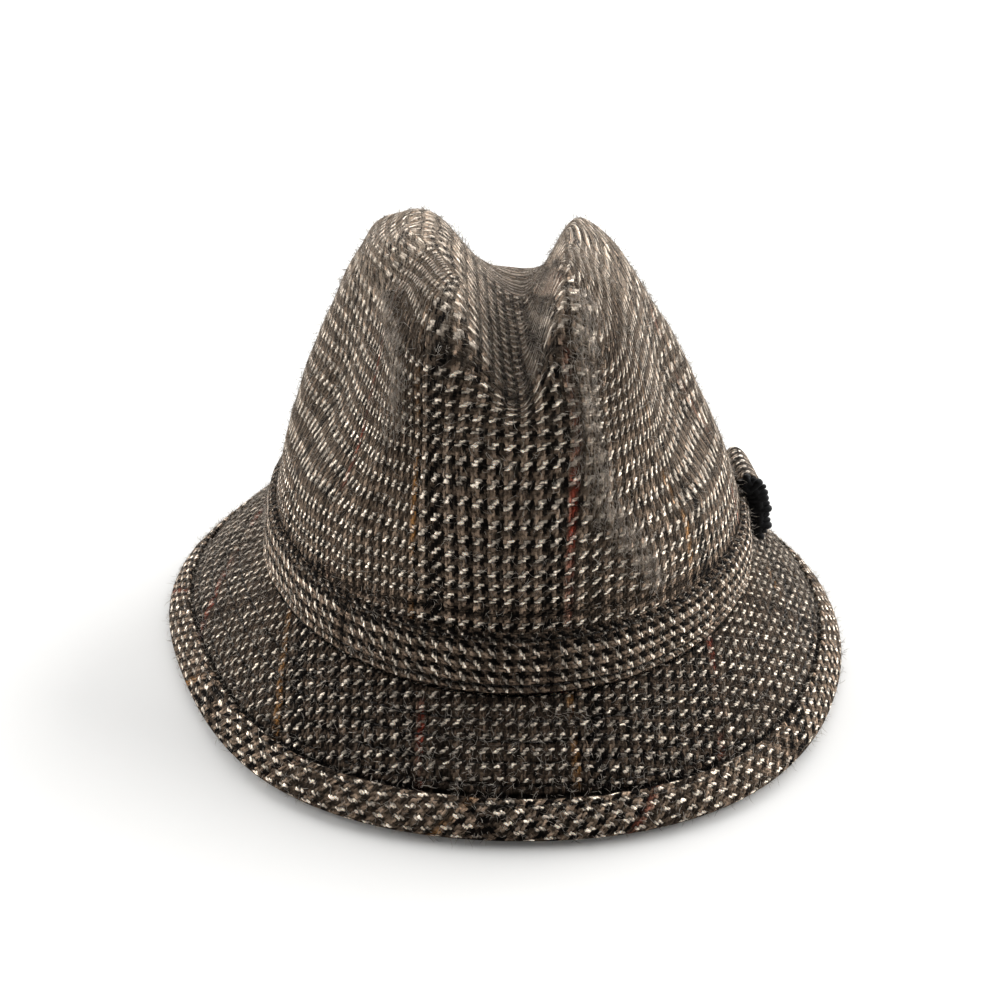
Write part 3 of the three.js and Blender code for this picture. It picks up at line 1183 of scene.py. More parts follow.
    def on_cloth(self, outer: Array, share: Array) -> Array:
        """Where the outer face lies on the flat cloth that was blocked over it.

        Args:
            outer: positions before the dent was pressed in, top last.
            share: share of the way up for each column.

        Returns:
            Cloth coordinates in millimetres from the crown's top.
        """
        steps = np.linalg.norm(np.diff(outer, axis=1), axis=-1)
        between = (share[:, 1:] + share[:, :-1]) / 2
        steps = steps * (1 + self.shrunk * ease((self.shrunk_below - between) / self.shrunk_run))
        down = np.zeros(outer.shape[:2])
        down[:, :-1] = np.cumsum(steps[:, ::-1], axis=1)[:, ::-1]
        front = self.around // 2
        along = run_length(outer, axis=0)
        along = along - along[front]
        off = np.abs(np.degrees(from_front(outer[..., 0], outer[..., 1])))
        knots, amount = np.array(self.drawn, dtype=float).T
        drawn = curve_through(knots, amount, np.gradient(amount, knots), off)
        start = int(np.searchsorted(share[0], self.drawn_from))
        above = down[:, start : start + 1] - down
        above = (above + np.hypot(above, self.drawn_softly)) / 2
        above = self.drawn_most * np.tanh(above / self.drawn_most)
        closer = self.closer * np.minimum(along + self.closer_from, 0.0)
        u = along + closer + np.sign(along) * drawn * above
        near, far = self.tilt_reach
        beside = (np.clip(np.abs(along), near, far) - near) * (1 - self.tilt_ends.at(off))
        v = mix(*self.tilt, self.tilt_turn.at(share)) * beside - down[front]
        tip = int(np.argmax(np.diff(share[0]) == 0)) + 1
        x, y = outer[..., 0], outer[..., 1]
        across = x * (1 + self.gathered * bump(x, 0, self.gather_wide))
        back = y - outer[front, tip, 1] - down[front, tip]
        laid = (1 - self.top_ends.at(off)) * self.top_laid.at(share)
        laid[:, tip:] = 1.0
        return np.stack([mix(u, across, laid), mix(v, back, laid)], axis=-1)

    def build(self) -> bpy.types.Object:
        """The crown as one closed shell that stands for its CAD node."""
        points, cloth, wear_and_sheen, _ = self.shell()
        piece = swept_piece("crown_cloth", points, cloth, {"wear_and_sheen": wear_and_sheen})
        tweed = Tweed("crown_tweed_cloth", red_at=14.0, stripe_at=-166.0)
        return finished(piece, tweed, "crown")


def at_the_front(points: Array, wide: float = 46.0) -> Array:
    """How near points are to the front, where painted shade darkens the band and the brim."""
    return bump(np.degrees(from_front(points[..., 0], points[..., 1])), 0.0, wide)


@dataclass(frozen=True)
class Stitching:
    """Running stitches, each a short thread that dives at both ends."""

    pitch: float  # millimetres from one stitch to the next
    thick: float  # the thread's radius
    sunk: float  # how far its ends go below the line
    long: float = 0.76  # a stitch's length, as a share of the pitch
    dive: tuple[float, ...] = (1.0, 0.0144, 0.0, 0.0144, 1.0)  # along each stitch
    pale: Colour = (0.035, 0.028, 0.022)
    deep: Colour = (0.012, 0.01, 0.008)

    def rows(self, name: str, slot: str, lines: Sequence[Array]) -> bpy.types.Object:
        """Rows of stitches as one piece.

        Args:
            name: the piece's name.
            slot: the material slot of the cloth that they are stitched to; not used.
            lines: dense lines of points in millimetres.

        Returns:
            The stitches.
        """
        paths = []
        for line in lines:
            length = run_length(line, axis=0)
            count = int(length[-1] / self.pitch)
            starts = (np.arange(count) + 0.5) * length[-1] / count
            steps = np.linspace(-self.long / 2, self.long / 2, len(self.dive)) * self.pitch
            where = starts[:, None] + steps[None, :]
            path = np.stack([np.interp(where, length, line[:, k]) for k in range(3)], axis=-1)
            path[..., 2] -= self.sunk * np.array(self.dive)
            paths.append(path)
        paths = np.concatenate(paths)
        piece = strands(name, paths, np.full(paths.shape[:2], self.thick), 4)
        return finished(piece, Yarn(name + "_thread", self.pale, self.deep, 1500.0))


@dataclass
class HatBand:
    """The band: a strip of the same cloth turned a quarter, with stitched edges."""

    form: CrownForm
    bottom: float = 28.8
    top: float = 47.5
    wall: float = 1.8
    bulge: float = 0.5
    gap: float = 0.3
    around: int = 560
    up: int = 60
    seams: tuple[float, float] = (0.15, 0.915)  # shares of the height
    seam_deep: float = 1.25
    seam_wide: float = 0.032  # share of the height
    seam_shade_wide: float = 0.03  # the same for the painted shade along it
    thinned: float = 0.85  # share of the wall that its edges lose
    edge_power: float = 26  # how close to the edges that is
    lumps: Lumps = ((0.3, 24, 11),)
    lumps_power: float = 8  # how close to the edges the lumps end
    thread_out: float = 0.25  # how far its threads lie off the face
    front_shade: float = 0.28  # how much painted shade darkens the front
    stitching: Stitching = Stitching(pitch=3.0, thick=0.22, sunk=0.25)

    def out_at(self, level: Array) -> Array:
        """How far the band's face stands off the crown, by share of its height."""
        edge = 1 - np.abs(2 * level - 1) ** self.edge_power * self.thinned
        groove = sum(self.seam_deep * bump(level, seam, self.seam_wide) for seam in self.seams)
        return self.gap + self.wall * edge + self.bulge * np.sin(np.pi * level) - groove

    def face(self, angle: Array, level: Array, raised: float = 0.0) -> Array:
        """Points on the band's face.

        Args:
            angle: angles round the hat.
            level: share of the band's height.
            raised: how far off the face.

        Returns:
            Positions in millimetres.
        """
        rise = mix(self.bottom, self.top, level)
        out = self.out_at(level) + raised
        points = self.form.points(angle, self.form.share_at(rise), -out)
        points[..., 2] = np.broadcast_to(rise, points.shape[:-1])
        return points

    def build(self) -> list[bpy.types.Object]:
        """The band and the stitches along its edges."""
        angle = round_the_hat(self.around)[:, None]
        level = np.linspace(1, 0, self.up + 1)[None, :]
        outside = self.face(angle, level)
        rise = mix(self.bottom, self.top, np.array([[0.0, 0.5, 1.0]]))
        inside = self.form.points(angle, self.form.share_at(rise), -self.gap)
        inside[..., 2] = np.broadcast_to(rise, inside.shape[:-1])
        swell = lumps(outside, self.lumps) * (1 - np.abs(2 * level - 1) ** self.lumps_power)
        outside = outside + unit(outside * np.array([1, 1, 0])) * swell[..., None]
        points = np.concatenate([outside, inside, outside[:, :1]], axis=1)
        points[-1] = points[0]
        length = run_length(outside[:, self.up // 2], axis=0)[:, None]
        across = run_length(points[0], axis=0)[None, :]
        cloth = ClothTurn.TURNED.lay(length, -across)
        # painted shade in the seams' grooves and on the front
        sewn_and_shaded = np.zeros(points.shape[1])
        sewn_and_shaded[: self.up + 1] = sum(bump(level[0], seam, self.seam_shade_wide) for seam in self.seams)
        sewn_and_shaded = clamp01(sewn_and_shaded[None, :] + self.front_shade * at_the_front(points))
        piece = swept_piece("hat_band_cloth", points, cloth, {"sewn_and_shaded": sewn_and_shaded})
        tweed = Tweed("band_tweed_cloth", warp_pitch=1.05, weft_pitch=1.06, red_at=8.0, stripe_at=25.0)
        fine = round_the_hat(5600)
        rows = [self.face(fine, np.array(seam), self.thread_out) for seam in self.seams]
        return [
            finished(piece, tweed, "hat_band"),
            self.stitching.rows("band_stitches", "band_tweed", rows),
        ]


@dataclass
class BrimForm:
    """The brim's slope, from the crown's foot to the rim, which the binding follows."""

    form: CrownForm
    # how far the rim reaches, every 30 degrees from +X
    reaches: tuple[float, ...] = (
        121.1, 111.0, 125.8, 136.1, 129.6, 118.4, 122.1, 124.0, 134.4, 136.1, 137.4, 129.2,
    )
    rise: float = 1.9
    bow: float = 1.5
    gap: float = 0.3
    eased_in: float = 0.8  # share of the hat's turn that the cloth's grain doesn't follow

    def reach_at(self, azimuth: Array) -> Array:
        """How far the rim reaches, by a smooth curve through its table.

        Args:
            azimuth: angles from +X, in radians.

        Returns:
            Millimetres from the middle.
        """
        table = np.array(self.reaches)
        step = azimuth / TURN % 1.0 * len(table)
        row = np.floor(step).astype(int)
        return curve_between(*(table[(row + k) % len(table)] for k in (-1, 0, 1, 2)), step - row)

    def inner_and_run(self, angle: Array) -> tuple[Array, Array, Array]:
        """The brim's inner edge, how far out it runs from there, and the way out.

        Args:
            angle: angles round the hat.

        Returns:
            Inner positions, the level run to the rim, and unit directions (x, y).
        """
        inner = self.form.points(angle, np.zeros_like(angle), -self.gap)
        radius = np.hypot(inner[..., 0], inner[..., 1])
        azimuth = np.arctan2(inner[..., 1], inner[..., 0])
        return inner, self.reach_at(azimuth) - radius, inner[..., :2] / radius[..., None]

    def points(
        self, angle: Array, inward: Array, raised: Array | float, onward: Array | float = 0.0
    ) -> Array:
        """Points on or off the slope.

        Args:
            angle: angles round the hat, (round, 1).
            inward: millimetres in from the rim.
            raised: how far square off the slope.
            onward: how far on along the slope.

        Returns:
            Positions in millimetres.
        """
        inner, run, way = self.inner_and_run(angle)
        drop = self.rise - inner[..., 2]
        t = 1 - inward / np.hypot(run, drop)
        steepness = drop + 4 * self.bow * (1 - 2 * t)
        slope = np.hypot(run, steepness)
        out = run * t + (-steepness * raised + run * onward) / slope
        z = inner[..., 2] + drop * t + 4 * self.bow * t * (1 - t)
        z = z + (run * raised + steepness * onward) / slope
        x = inner[..., 0] + out * way[..., 0]
        y = inner[..., 1] + out * way[..., 1]
        return np.stack(np.broadcast_arrays(x, y, np.maximum(z, 0)), axis=-1)

    def width(self, angle: Array) -> Array:
        """How long the slope is at each angle."""
        inner, run, _ = self.inner_and_run(angle)
        return np.hypot(run, self.rise - inner[..., 2])

    def on_cloth(self, angle: Array, inward: Array) -> Array:
        """The slope opened out flat, with the grain straight at the front.

        Args:
            angle: angles round the hat, (round, 1).
            inward: millimetres in from the rim, (round, across).

        Returns:
            Cloth coordinates in millimetres.
        """
        rim = self.points(angle, np.zeros_like(angle), 0.0)[:, 0]
        length = run_length(rim, axis=0)
        step = np.gradient(rim[:, :2], axis=0)
        facing = np.unwrap(np.arctan2(step[:, 1], step[:, 0]))
        front = len(rim) // 2
        turned = self.eased_in * (facing - facing[front])
        steps = np.diff(length)
        middle = (turned[1:] + turned[:-1]) / 2
        edge_x = np.concatenate([[0], np.cumsum(steps * np.cos(middle))])
        edge_y = np.concatenate([[0], np.cumsum(steps * np.sin(middle))])
        edge_x, edge_y = edge_x - edge_x[front], edge_y - edge_y[front]
        u = edge_x[:, None] - inward * np.sin(turned)[:, None]
        v = edge_y[:, None] + inward * np.cos(turned)[:, None]
        return np.stack([u, v], axis=-1)


@dataclass
class Brim:
    """The turned-down brim: two layers of cloth held by rows of topstitching."""

    shape: BrimForm
    thick: float = 3.0
    around: int = 640
    lower: int = 16
    edge: float = 1.4  # how far in from the rim its own edge is
    below_binding: tuple[float, ...] = (4.0, 7.0)
    tuck: float = 10.2  # where the binding's edge pulls it in, with painted shade along it
    row_pitch: float = 6.2
    rows: tuple[float, ...] = (13.0, 19.2, 25.4, 31.6)  # topstitching, in from the rim
    beside_row: tuple[float, ...] = (-1.9, -1.1, -0.6, -0.3, 0.0, 0.3, 0.6, 1.1, 1.9)
    quilted: float = 0.22  # how far the cloth swells between the rows
    row_deep: float = 0.75
    row_wide: float = 0.42
    # painted shade in the topstitching's grooves
    row_shade: float = 0.8
    tuck_deep: float = 0.9
    tuck_wide: float = 0.75
    pucker: tuple[tuple[float, float], ...] = ((0.3, 210), (0.2, 37))  # how much, and how often
    lumps: Lumps = ((0.35, 34, 21), (0.18, 12, 22))
    lumpy_from_rim: Growth = Growth(1.0, 9, 6)  # millimetres
    lumpy_from_crown: Growth = Growth(1.0, 2, 5)
    thread_in: float = 0.42  # how far its threads lie below the face
    front_shade: float = 0.3  # how much painted shade darkens the front
    # painted sheen where the side lamps graze the nap: how much, at how many degrees from the front, and
    # over how many
    rubbed_and_sheen: tuple[tuple[float, float, float], ...] = ((0.3, 92.0, 30.0), (0.26, -95.0, 34.0))
    stitching: Stitching = Stitching(pitch=3.2, thick=0.24, sunk=0.35)

    def across(self, width: Array) -> Array:
        """Where the upper face's points lie across the slope, closest at the seams.

        Args:
            width: how long the slope is, (round, 1).

        Returns:
            Millimetres in from the rim, (round, across), from the crown outwards.
        """
        seams = (self.tuck, *self.rows)
        beside = [seam + step for seam in seams for step in self.beside_row]
        widest = 2.5 * self.beside_row[-1]
        halfway = [(a + b) / 2 for a, b in zip(seams, seams[1:]) if b - a > widest]
        fixed = np.array(sorted([self.edge, *self.below_binding, *beside, *halfway]))
        last = fixed[-1]
        rest = mix(last, width - 0.05, np.linspace(1, 0, 9)[None, :-1])
        return np.concatenate([rest, np.broadcast_to(fixed[::-1], (len(width), len(fixed)))], axis=1)

    def build(self) -> list[bpy.types.Object]:
        """The brim and its topstitching."""
        angle = round_the_hat(self.around)[:, None]
        width = self.shape.width(angle)
        half = self.thick / 2
        inward = self.across(width)
        quilted = self.quilted * np.sin(np.pi * (inward - self.rows[0]) / self.row_pitch) ** 2
        pucker = 0.8 + sum(amount * np.sin(angle * times) for amount, times in self.pucker)
        sewn_and_shaded = pucker * sum(bump(inward, row, self.row_wide) for row in self.rows)
        tucked = bump(inward, self.tuck, self.tuck_wide)
        raised = half + quilted - self.row_deep * sewn_and_shaded - self.tuck_deep * tucked
        top = self.shape.points(angle, inward, raised)
        uneven = lumps(top, self.lumps)
        top[..., 2] += uneven * self.lumpy_from_rim.at(inward) * self.lumpy_from_crown.at(width - inward)
        share = np.linspace(1, 0, self.lower + 1)[None, :]
        under_in = mix(width - 0.3, self.edge, share)
        under = self.shape.points(angle, under_in, -half)
        points = np.concatenate([top, under, top[:, :1]], axis=1)
        points[-1] = points[0]
        flat_in = np.concatenate([inward, under_in, inward[:, :1]], axis=1)
        cloth = self.shape.on_cloth(angle, flat_in)
        # painted shade in the topstitching's grooves, along the binding's edge and on the front
        dark = np.zeros(flat_in.shape)
        dark[:, : inward.shape[1]] = np.maximum(self.row_shade * sewn_and_shaded, tucked)
        dark = clamp01(dark + self.front_shade * at_the_front(points))
        off = np.degrees(from_front(points[..., 0], points[..., 1]))
        wear_and_sheen = sum(amount * bump(off, middle, wide) for amount, middle, wide in self.rubbed_and_sheen)
        piece = swept_piece("brim_cloth", points, cloth, {"sewn_and_shaded": dark, "wear_and_sheen": wear_and_sheen})
        # darker colours than the crown's cloth: painted shade
        tweed = Tweed(
            "brim_tweed_cloth",
            light=(0.58, 0.50, 0.41),
            middle=(0.116, 0.082, 0.058),
            rows_show=0.22,
            columns_show=0.0,
            warp_pitch=0.93,
            weft_pitch=1.08,
            warp_check=48,
            red_at=-29.0,
            stripe_at=10.0,
        )
        fine = round_the_hat(6000)[:, None]
        sunk = half - self.thread_in
        lines = [self.shape.points(fine, np.full_like(fine, row), sunk)[:, 0] for row in self.rows]
        return [
            finished(piece, tweed, "brim"),
            self.stitching.rows("brim_stitches", "brim_tweed", lines),
        ]

    def upper_face(self) -> Array:
        """A coarse grid over the upper face, for the stray fibres."""
        angle = round_the_hat(240)[:, None]
        width = self.shape.width(angle)
        inward = mix(width - 3.0, 9.5, np.linspace(0, 1, 21)[None, :])
        return self.shape.points(angle, inward, self.thick / 2 + 0.1)


@dataclass
class Binding:
    """The bias strip folded round the brim's edge, which the hat stands on."""

    shape: BrimForm
    # millimetres in from the rim, raised off the slope, onward past the rim
    outline: tuple[tuple[float, float, float], ...] = (
        (9.4, 1.56, 0.0),
        (9.6, 2.1, 0.0),
        (9.2, 2.62, 0.0),
        (8.5, 2.84, 0.0),
        (7.9, 2.62, 0.0),
        (7.3, 2.86, 0.0),
        (6.2, 3.0, 0.0),
        (4.8, 3.05, 0.0),
        (3.4, 3.02, 0.0),
        (2.2, 2.9, 0.0),
        (1.2, 2.65, 0.0),
        (0.4, 2.3, 0.0),
        (0.0, 1.85, 0.35),
        (0.0, 1.2, 0.8),
        (0.0, 0.5, 1.02),
        (0.0, -0.2, 1.0),
        (0.0, -0.9, 0.85),
        (0.0, -1.6, 0.6),
    )
    under: tuple[tuple[float, float], ...] = (
        (2.0, -2.9),
        (4.0, -2.9),
        (6.0, -2.9),
        (8.4, -2.9),
        (9.2, -2.5),
        (9.4, -1.56),
    )
    flat: tuple[float, ...] = (0.0, 0.8, 1.6)  # millimetres in from the rim, on the floor
    foot: tuple[float, float] = (-1.6, 0.6)  # raised and onward, before they're set on the floor
    within: tuple[tuple[float, float], ...] = ((1.2, -1.56), (1.2, 1.56))
    around: int = 720
    upper: int = 12  # rows of the outline that lie on top
    woolly: tuple[int, int] = (3, 15)  # rows of the outline between which stray fibres stand
    lumps: Lumps = ((0.16, 9, 31), (0.12, 26, 32))
    seam: tuple[float, float] = (7.9, 2.72)  # in from the rim, raised off the slope
    stitching: Stitching = Stitching(pitch=3.0, thick=0.2, sunk=0.3)

    def rows(self, angle: Array, outline: Sequence[tuple[float, ...]]) -> Array:
        """Rows of points that follow the rim.

        Args:
            angle: angles round the hat, (round, 1).
            outline: for each row, how far in from the rim, raised and onward it runs.

        Returns:
            Positions in millimetres, (round, row, 3).
        """
        lines = [self.shape.points(angle, np.full_like(angle, inward), *off) for inward, *off in outline]
        return np.concatenate(lines, axis=1)

    def build(self) -> list[bpy.types.Object]:
        """The binding and its edge stitching."""
        angle = round_the_hat(self.around)[:, None]
        top = self.rows(angle, self.outline[: self.upper])
        top[:, 1:, 2] += lumps(top, self.lumps)[:, 1:]
        side = self.rows(angle, self.outline[self.upper :])
        low = self.rows(angle, [(inward, *self.foot) for inward in self.flat])
        low[..., 2] = 0.0
        inner = self.rows(angle, self.under + self.within)
        points = np.concatenate([top, side, low, inner, top[:, :1]], axis=1)
        points[-1] = points[0]
        length = run_length(points[:, self.upper], axis=0)[:, None]
        across = run_length(points[0], axis=0)[None, :]
        piece = swept_piece("brim_binding_cloth", points, ClothTurn.BIAS.lay(length, -across))
        tweed = Tweed(
            "binding_tweed_cloth",
            light=(0.88, 0.755, 0.62),
            red=(0.15, 0.045, 0.028),
            middle=(0.215, 0.155, 0.110),
            warp_pitch=0.95,
            weft_pitch=1.1,
            stripe_at=400.0,
        )
        line = self.rows(round_the_hat(6000)[:, None], [self.seam])[:, 0]
        return [
            finished(piece, tweed, "brim_binding"),
            self.stitching.rows("binding_stitches", "binding_tweed", [line]),
        ]

    def outer_face(self) -> Array:
        """A coarse grid over the strip's outer face, for the stray fibres."""
        return self.rows(round_the_hat(240)[:, None], self.outline[slice(*self.woolly)])


@dataclass
class BandLoop:
    """The cloth loop over the band, and the black yarn overcast on its front edge."""

    path: tuple[tuple[float, float], ...] = (
        (84.9, 49.0),
        (87.8, 52.3),
        (92.4, 48.6),
        (95.0, 39.5),
        (95.6, 31.5),
        (94.2, 28.4),
    )
    front: float = -12.0
    back: float = 12.0
    wall: float = 2.4
    steps: int = 60
    sides: int = 48
    corner: float = 0.18  # how square the strap's section is across, 0 for sharp
    edge: float = 0.7  # the same through its thickness
    gap: float = 0.3
    edging_deep: float = 3.0
    edging_thin: float = 6.2
    edging_thick: float = 8.6
    edging_in: float = 1.9  # how far its middle lies inside the strap's
    stitches: int = 14
    turn_points: int = 16  # points along each turn of yarn
    dense: int = 240  # steps along the loop that a turn's place is counted in
    leaning: float = 16.74  # how many of those a turn leans over
    turns_in: float = 0.8  # how far the turns lie inside the edging's depth
    flattened: float = 0.78  # how far out a turn reaches, as a share of the swell
    tapered: float = 0.62  # how much of a half wave the swell follows down the loop
    yarn_thick: float = 1.2
    yarn_ends: tuple[float, float] = (0.0, 0.7)  # its thickness at the ends of a turn
    uneven_out: tuple[float, float] = (0.5, 1.9)  # by how much, and how fast from turn to turn
    uneven_thick: tuple[float, float, float] = (0.3, 2.4, 0.7)  # and where it starts

    def middle_line(self, count: int) -> tuple[Array, Array]:
        """The loop's middle line and its outward side, in its flat side view.

        Args:
            count: how many points.

        Returns:
            Positions (x, z) and unit normals, evenly spaced.
        """
        knots = np.array(self.path, dtype=float)
        knots = np.concatenate([[2 * knots[0] - knots[1]], knots, [2 * knots[-1] - knots[-2]]])
        t = np.linspace(0, 1, 40, endpoint=False)[:, None]
        dense = [curve_between(*four, t) for four in zip(knots, knots[1:], knots[2:], knots[3:])]
        line = np.concatenate([*dense, [self.path[-1]]])
        length = run_length(line, axis=0)
        where = np.linspace(0, length[-1], count)
        line = np.stack([np.interp(where, length, line[:, k]) for k in range(2)], axis=-1)
        ahead = unit(np.gradient(line, axis=0))
        return line, np.stack([-ahead[:, 1], ahead[:, 0]], axis=-1)

    def strap(self) -> bpy.types.Object:
        """The loop's cloth, with rounded edges and closed ends."""
        line, normal = self.middle_line(self.steps + 1)
        turn = np.linspace(0, TURN, self.sides + 1)
        c, s = np.cos(turn), np.sin(turn)
        half = (self.back - self.front) / 2
        deep = self.wall / 2 * np.sign(s) * np.abs(s) ** self.edge
        points = np.empty((len(line), len(turn), 3))
        points[..., [0, 2]] = line[:, None] + normal[:, None] * deep[:, None]
        points[..., 1] = self.front + half + half * np.sign(c) * np.abs(c) ** self.corner
        ends = points[[0, -1]].mean(axis=1, keepdims=True)
        first, last = (np.broadcast_to(end, points[:1].shape) for end in (ends[:1], ends[1:]))
        points = np.concatenate([first, points, last])
        points[:, -1] = points[:, 0]
        length = run_length(points.mean(axis=1), axis=0)[:, None]
        girth = run_length(points[len(line) // 2], axis=0)[None, :]
        return swept_piece("band_loop_cloth", points, ClothTurn.STRAIGHT.lay(girth, -length))

    def over_the_edge(self, at: Array, out: Array, y: Array) -> Array:
        """Points round the loop's front edge.

        Args:
            at: how far along the loop, in its dense steps.
            out: millimetres out from the strap's middle.
            y: how far back.

        Returns:
            Positions in millimetres.
        """
        line, normal = self.middle_line(self.dense + 1)
        steps = np.arange(self.dense + 1)
        x, z = (
            np.interp(at, steps, line[:, k]) + np.interp(at, steps, normal[:, k]) * out
            for k in (0, 1)
        )
        return np.stack([x, y, z], axis=-1)

    def swell(self, share: Array | float) -> Array | float:
        """How far the edging stands from its core, by share of the way down the loop."""
        fullness = np.sin(np.pi * share * self.tapered)
        return mix(self.edging_thin, self.edging_thick, fullness) / 2

    def edging(self) -> bpy.types.Object:
        """Black yarn wound over the loop's front edge, turn by turn, round a core."""
        even = np.linspace(0, 1, self.turn_points)
        middle = self.front - self.gap - self.edging_deep / 2
        around = TURN * (even - 0.5)
        y = middle - (self.edging_deep / 2 - self.turns_in) * np.cos(around)
        ends = np.ones(self.turn_points)
        ends[:2] = self.yarn_ends
        ends[-2:] = self.yarn_ends[::-1]
        out_by, out_pace = self.uneven_out
        thick_by, thick_pace, thick_from = self.uneven_thick
        paths, radii = [], []
        for k in range(self.stitches):
            share = (k + 0.5) / self.stitches
            at = np.clip(share * self.dense + self.leaning * (even - 0.5), 0, self.dense)
            swell = self.swell(share) + out_by * math.sin(out_pace * k)
            out = swell * self.flattened * np.sin(around) - self.edging_in
            paths.append(self.over_the_edge(at, out, y))
            thick = 1 + thick_by * math.sin(thick_pace * k + thick_from)
            radii.append(self.yarn_thick * thick * ends)
        level = np.full(self.turn_points, middle)
        paths.append(self.over_the_edge(even * self.dense, -self.edging_in, level))
        radii.append(0.5 * self.swell(even))
        return strands("loop_edging_yarn", np.array(paths), np.array(radii), 9)

    def build(self) -> list[bpy.types.Object]:
        """The loop and its edging."""
        tweed = Tweed(
            "loop_tweed_cloth",
            light=(0.46, 0.40, 0.34),
            middle=(0.26, 0.21, 0.165),
            dark=(0.05, 0.04, 0.033),
            red_at=36.0,
            stripe_at=300.0,
        )
        pale, deep = (0.006, 0.006, 0.0065), (0.0015, 0.0015, 0.002)
        wool = Yarn("black_yarn_wool", pale, deep, 1400.0, sheen=0.0)
        return [
            finished(self.strap(), tweed, "band_loop"),
            finished(self.edging(), wool, "loop_edging"),
        ]


@dataclass
class Fuzz:
    """Stray wool fibres that stand off a piece of cloth."""

    name: str
    slot: str
    count: int
    seed: int
    longest: float = 5.0
    shortest: float = 1.6
    radius: float = 0.06
    lift: float = 0.8
    combed: float = 0.0  # how far the fibres lie up and down the face
    mostly_short: float = 2.2  # powers: how much commoner short and low fibres are
    mostly_low: float = 1.3
    curled: float = 0.55  # how far a fibre turns at each bend
    straightened: float = 0.6  # share of that which combing takes away
    sagging: float = 0.25  # how far its second and third parts drop
    falling: float = 0.1
    rooted: float = 0.15  # millimetres below the face
    off_floor: float = 0.1
    part: float = 0.33  # each part's share of the length
    uneven: tuple[float, float] = (0.7, 0.6)  # the least thickness, and the spread above it
    taper: tuple[float, ...] = (0.0, 1.0, 0.8, 0.0)
    pale: Colour = (0.46, 0.41, 0.35)
    deep: Colour = (0.10, 0.08, 0.062)

    def build(self, face: Array, weight: Array | None = None) -> bpy.types.Object:
        """Fibres scattered over a grid of points.

        Args:
            face: positions in millimetres, (round, across, 3), outer side only.
            weight: how thickly each quad is covered, shaped (round - 1, across - 1).

        Returns:
            The fibres as one piece.
        """
        chance = np.random.default_rng(self.seed)
        a, b = face[:-1, :-1], face[1:, :-1]
        c, d = face[:-1, 1:], face[1:, 1:]
        normal = np.cross(d - a, c - b)
        area = np.linalg.norm(normal, axis=-1)
        if weight is not None:
            area = area * weight
        pick = chance.choice(area.size, self.count, p=(area / area.sum()).ravel())
        i, j = np.unravel_index(pick, area.shape)
        s, t = chance.random((2, self.count, 1))
        root = mix(mix(a[i, j], b[i, j], s), mix(c[i, j], d[i, j], s), t)
        up = unit(normal[i, j])
        middle = face.reshape(-1, 3).mean(axis=0)
        up = up * np.sign(np.sum(up * (root - middle), axis=-1).mean())
        lean = unit(chance.normal(size=(self.count, 3)))
        climb = unit(c[i, j] - a[i, j]) * np.sign(chance.normal(size=(self.count, 1)))
        lean = mix(lean, climb, self.combed)
        lean = unit(lean - up * np.sum(lean * up, axis=-1, keepdims=True))
        curl = unit(chance.normal(size=(self.count, 3)))
        length = chance.random((self.count, 1)) ** self.mostly_short
        length = self.shortest + (self.longest - self.shortest) * length
        rise = self.lift * chance.random((self.count, 1)) ** self.mostly_low
        first = unit(lean + up * rise)
        loose = self.curled * (1 - self.straightened * self.combed)
        second = unit(first + curl * loose + up * (rise - self.sagging))
        third = unit(second + curl * loose - up * self.falling)
        bends = (first, first + second, first + second + third)
        further = [root + bend * length * self.part for bend in bends]
        paths = np.stack([root - up * self.rooted, *further], axis=1)
        paths[..., 2] = np.maximum(paths[..., 2], self.off_floor)
        least, spread = self.uneven
        thick = self.radius * (least + spread * chance.random((self.count, 1)))
        piece = strands(self.name, paths, thick * np.array([self.taper]), 3)
        wool = Yarn(self.name + "_wool", self.pale, self.deep, 260.0)
        return finished(piece, wool)


# ---- studio ---------------------------------------------------------------------------


@dataclass(frozen=True)
class Lamp:
    """A soft lamp far away: where it shines from, how strong and how wide it is."""

    name: str
    azimuth: float  # degrees from the front, towards the wearer's left
    elevation: float
    strength: float
    width: float


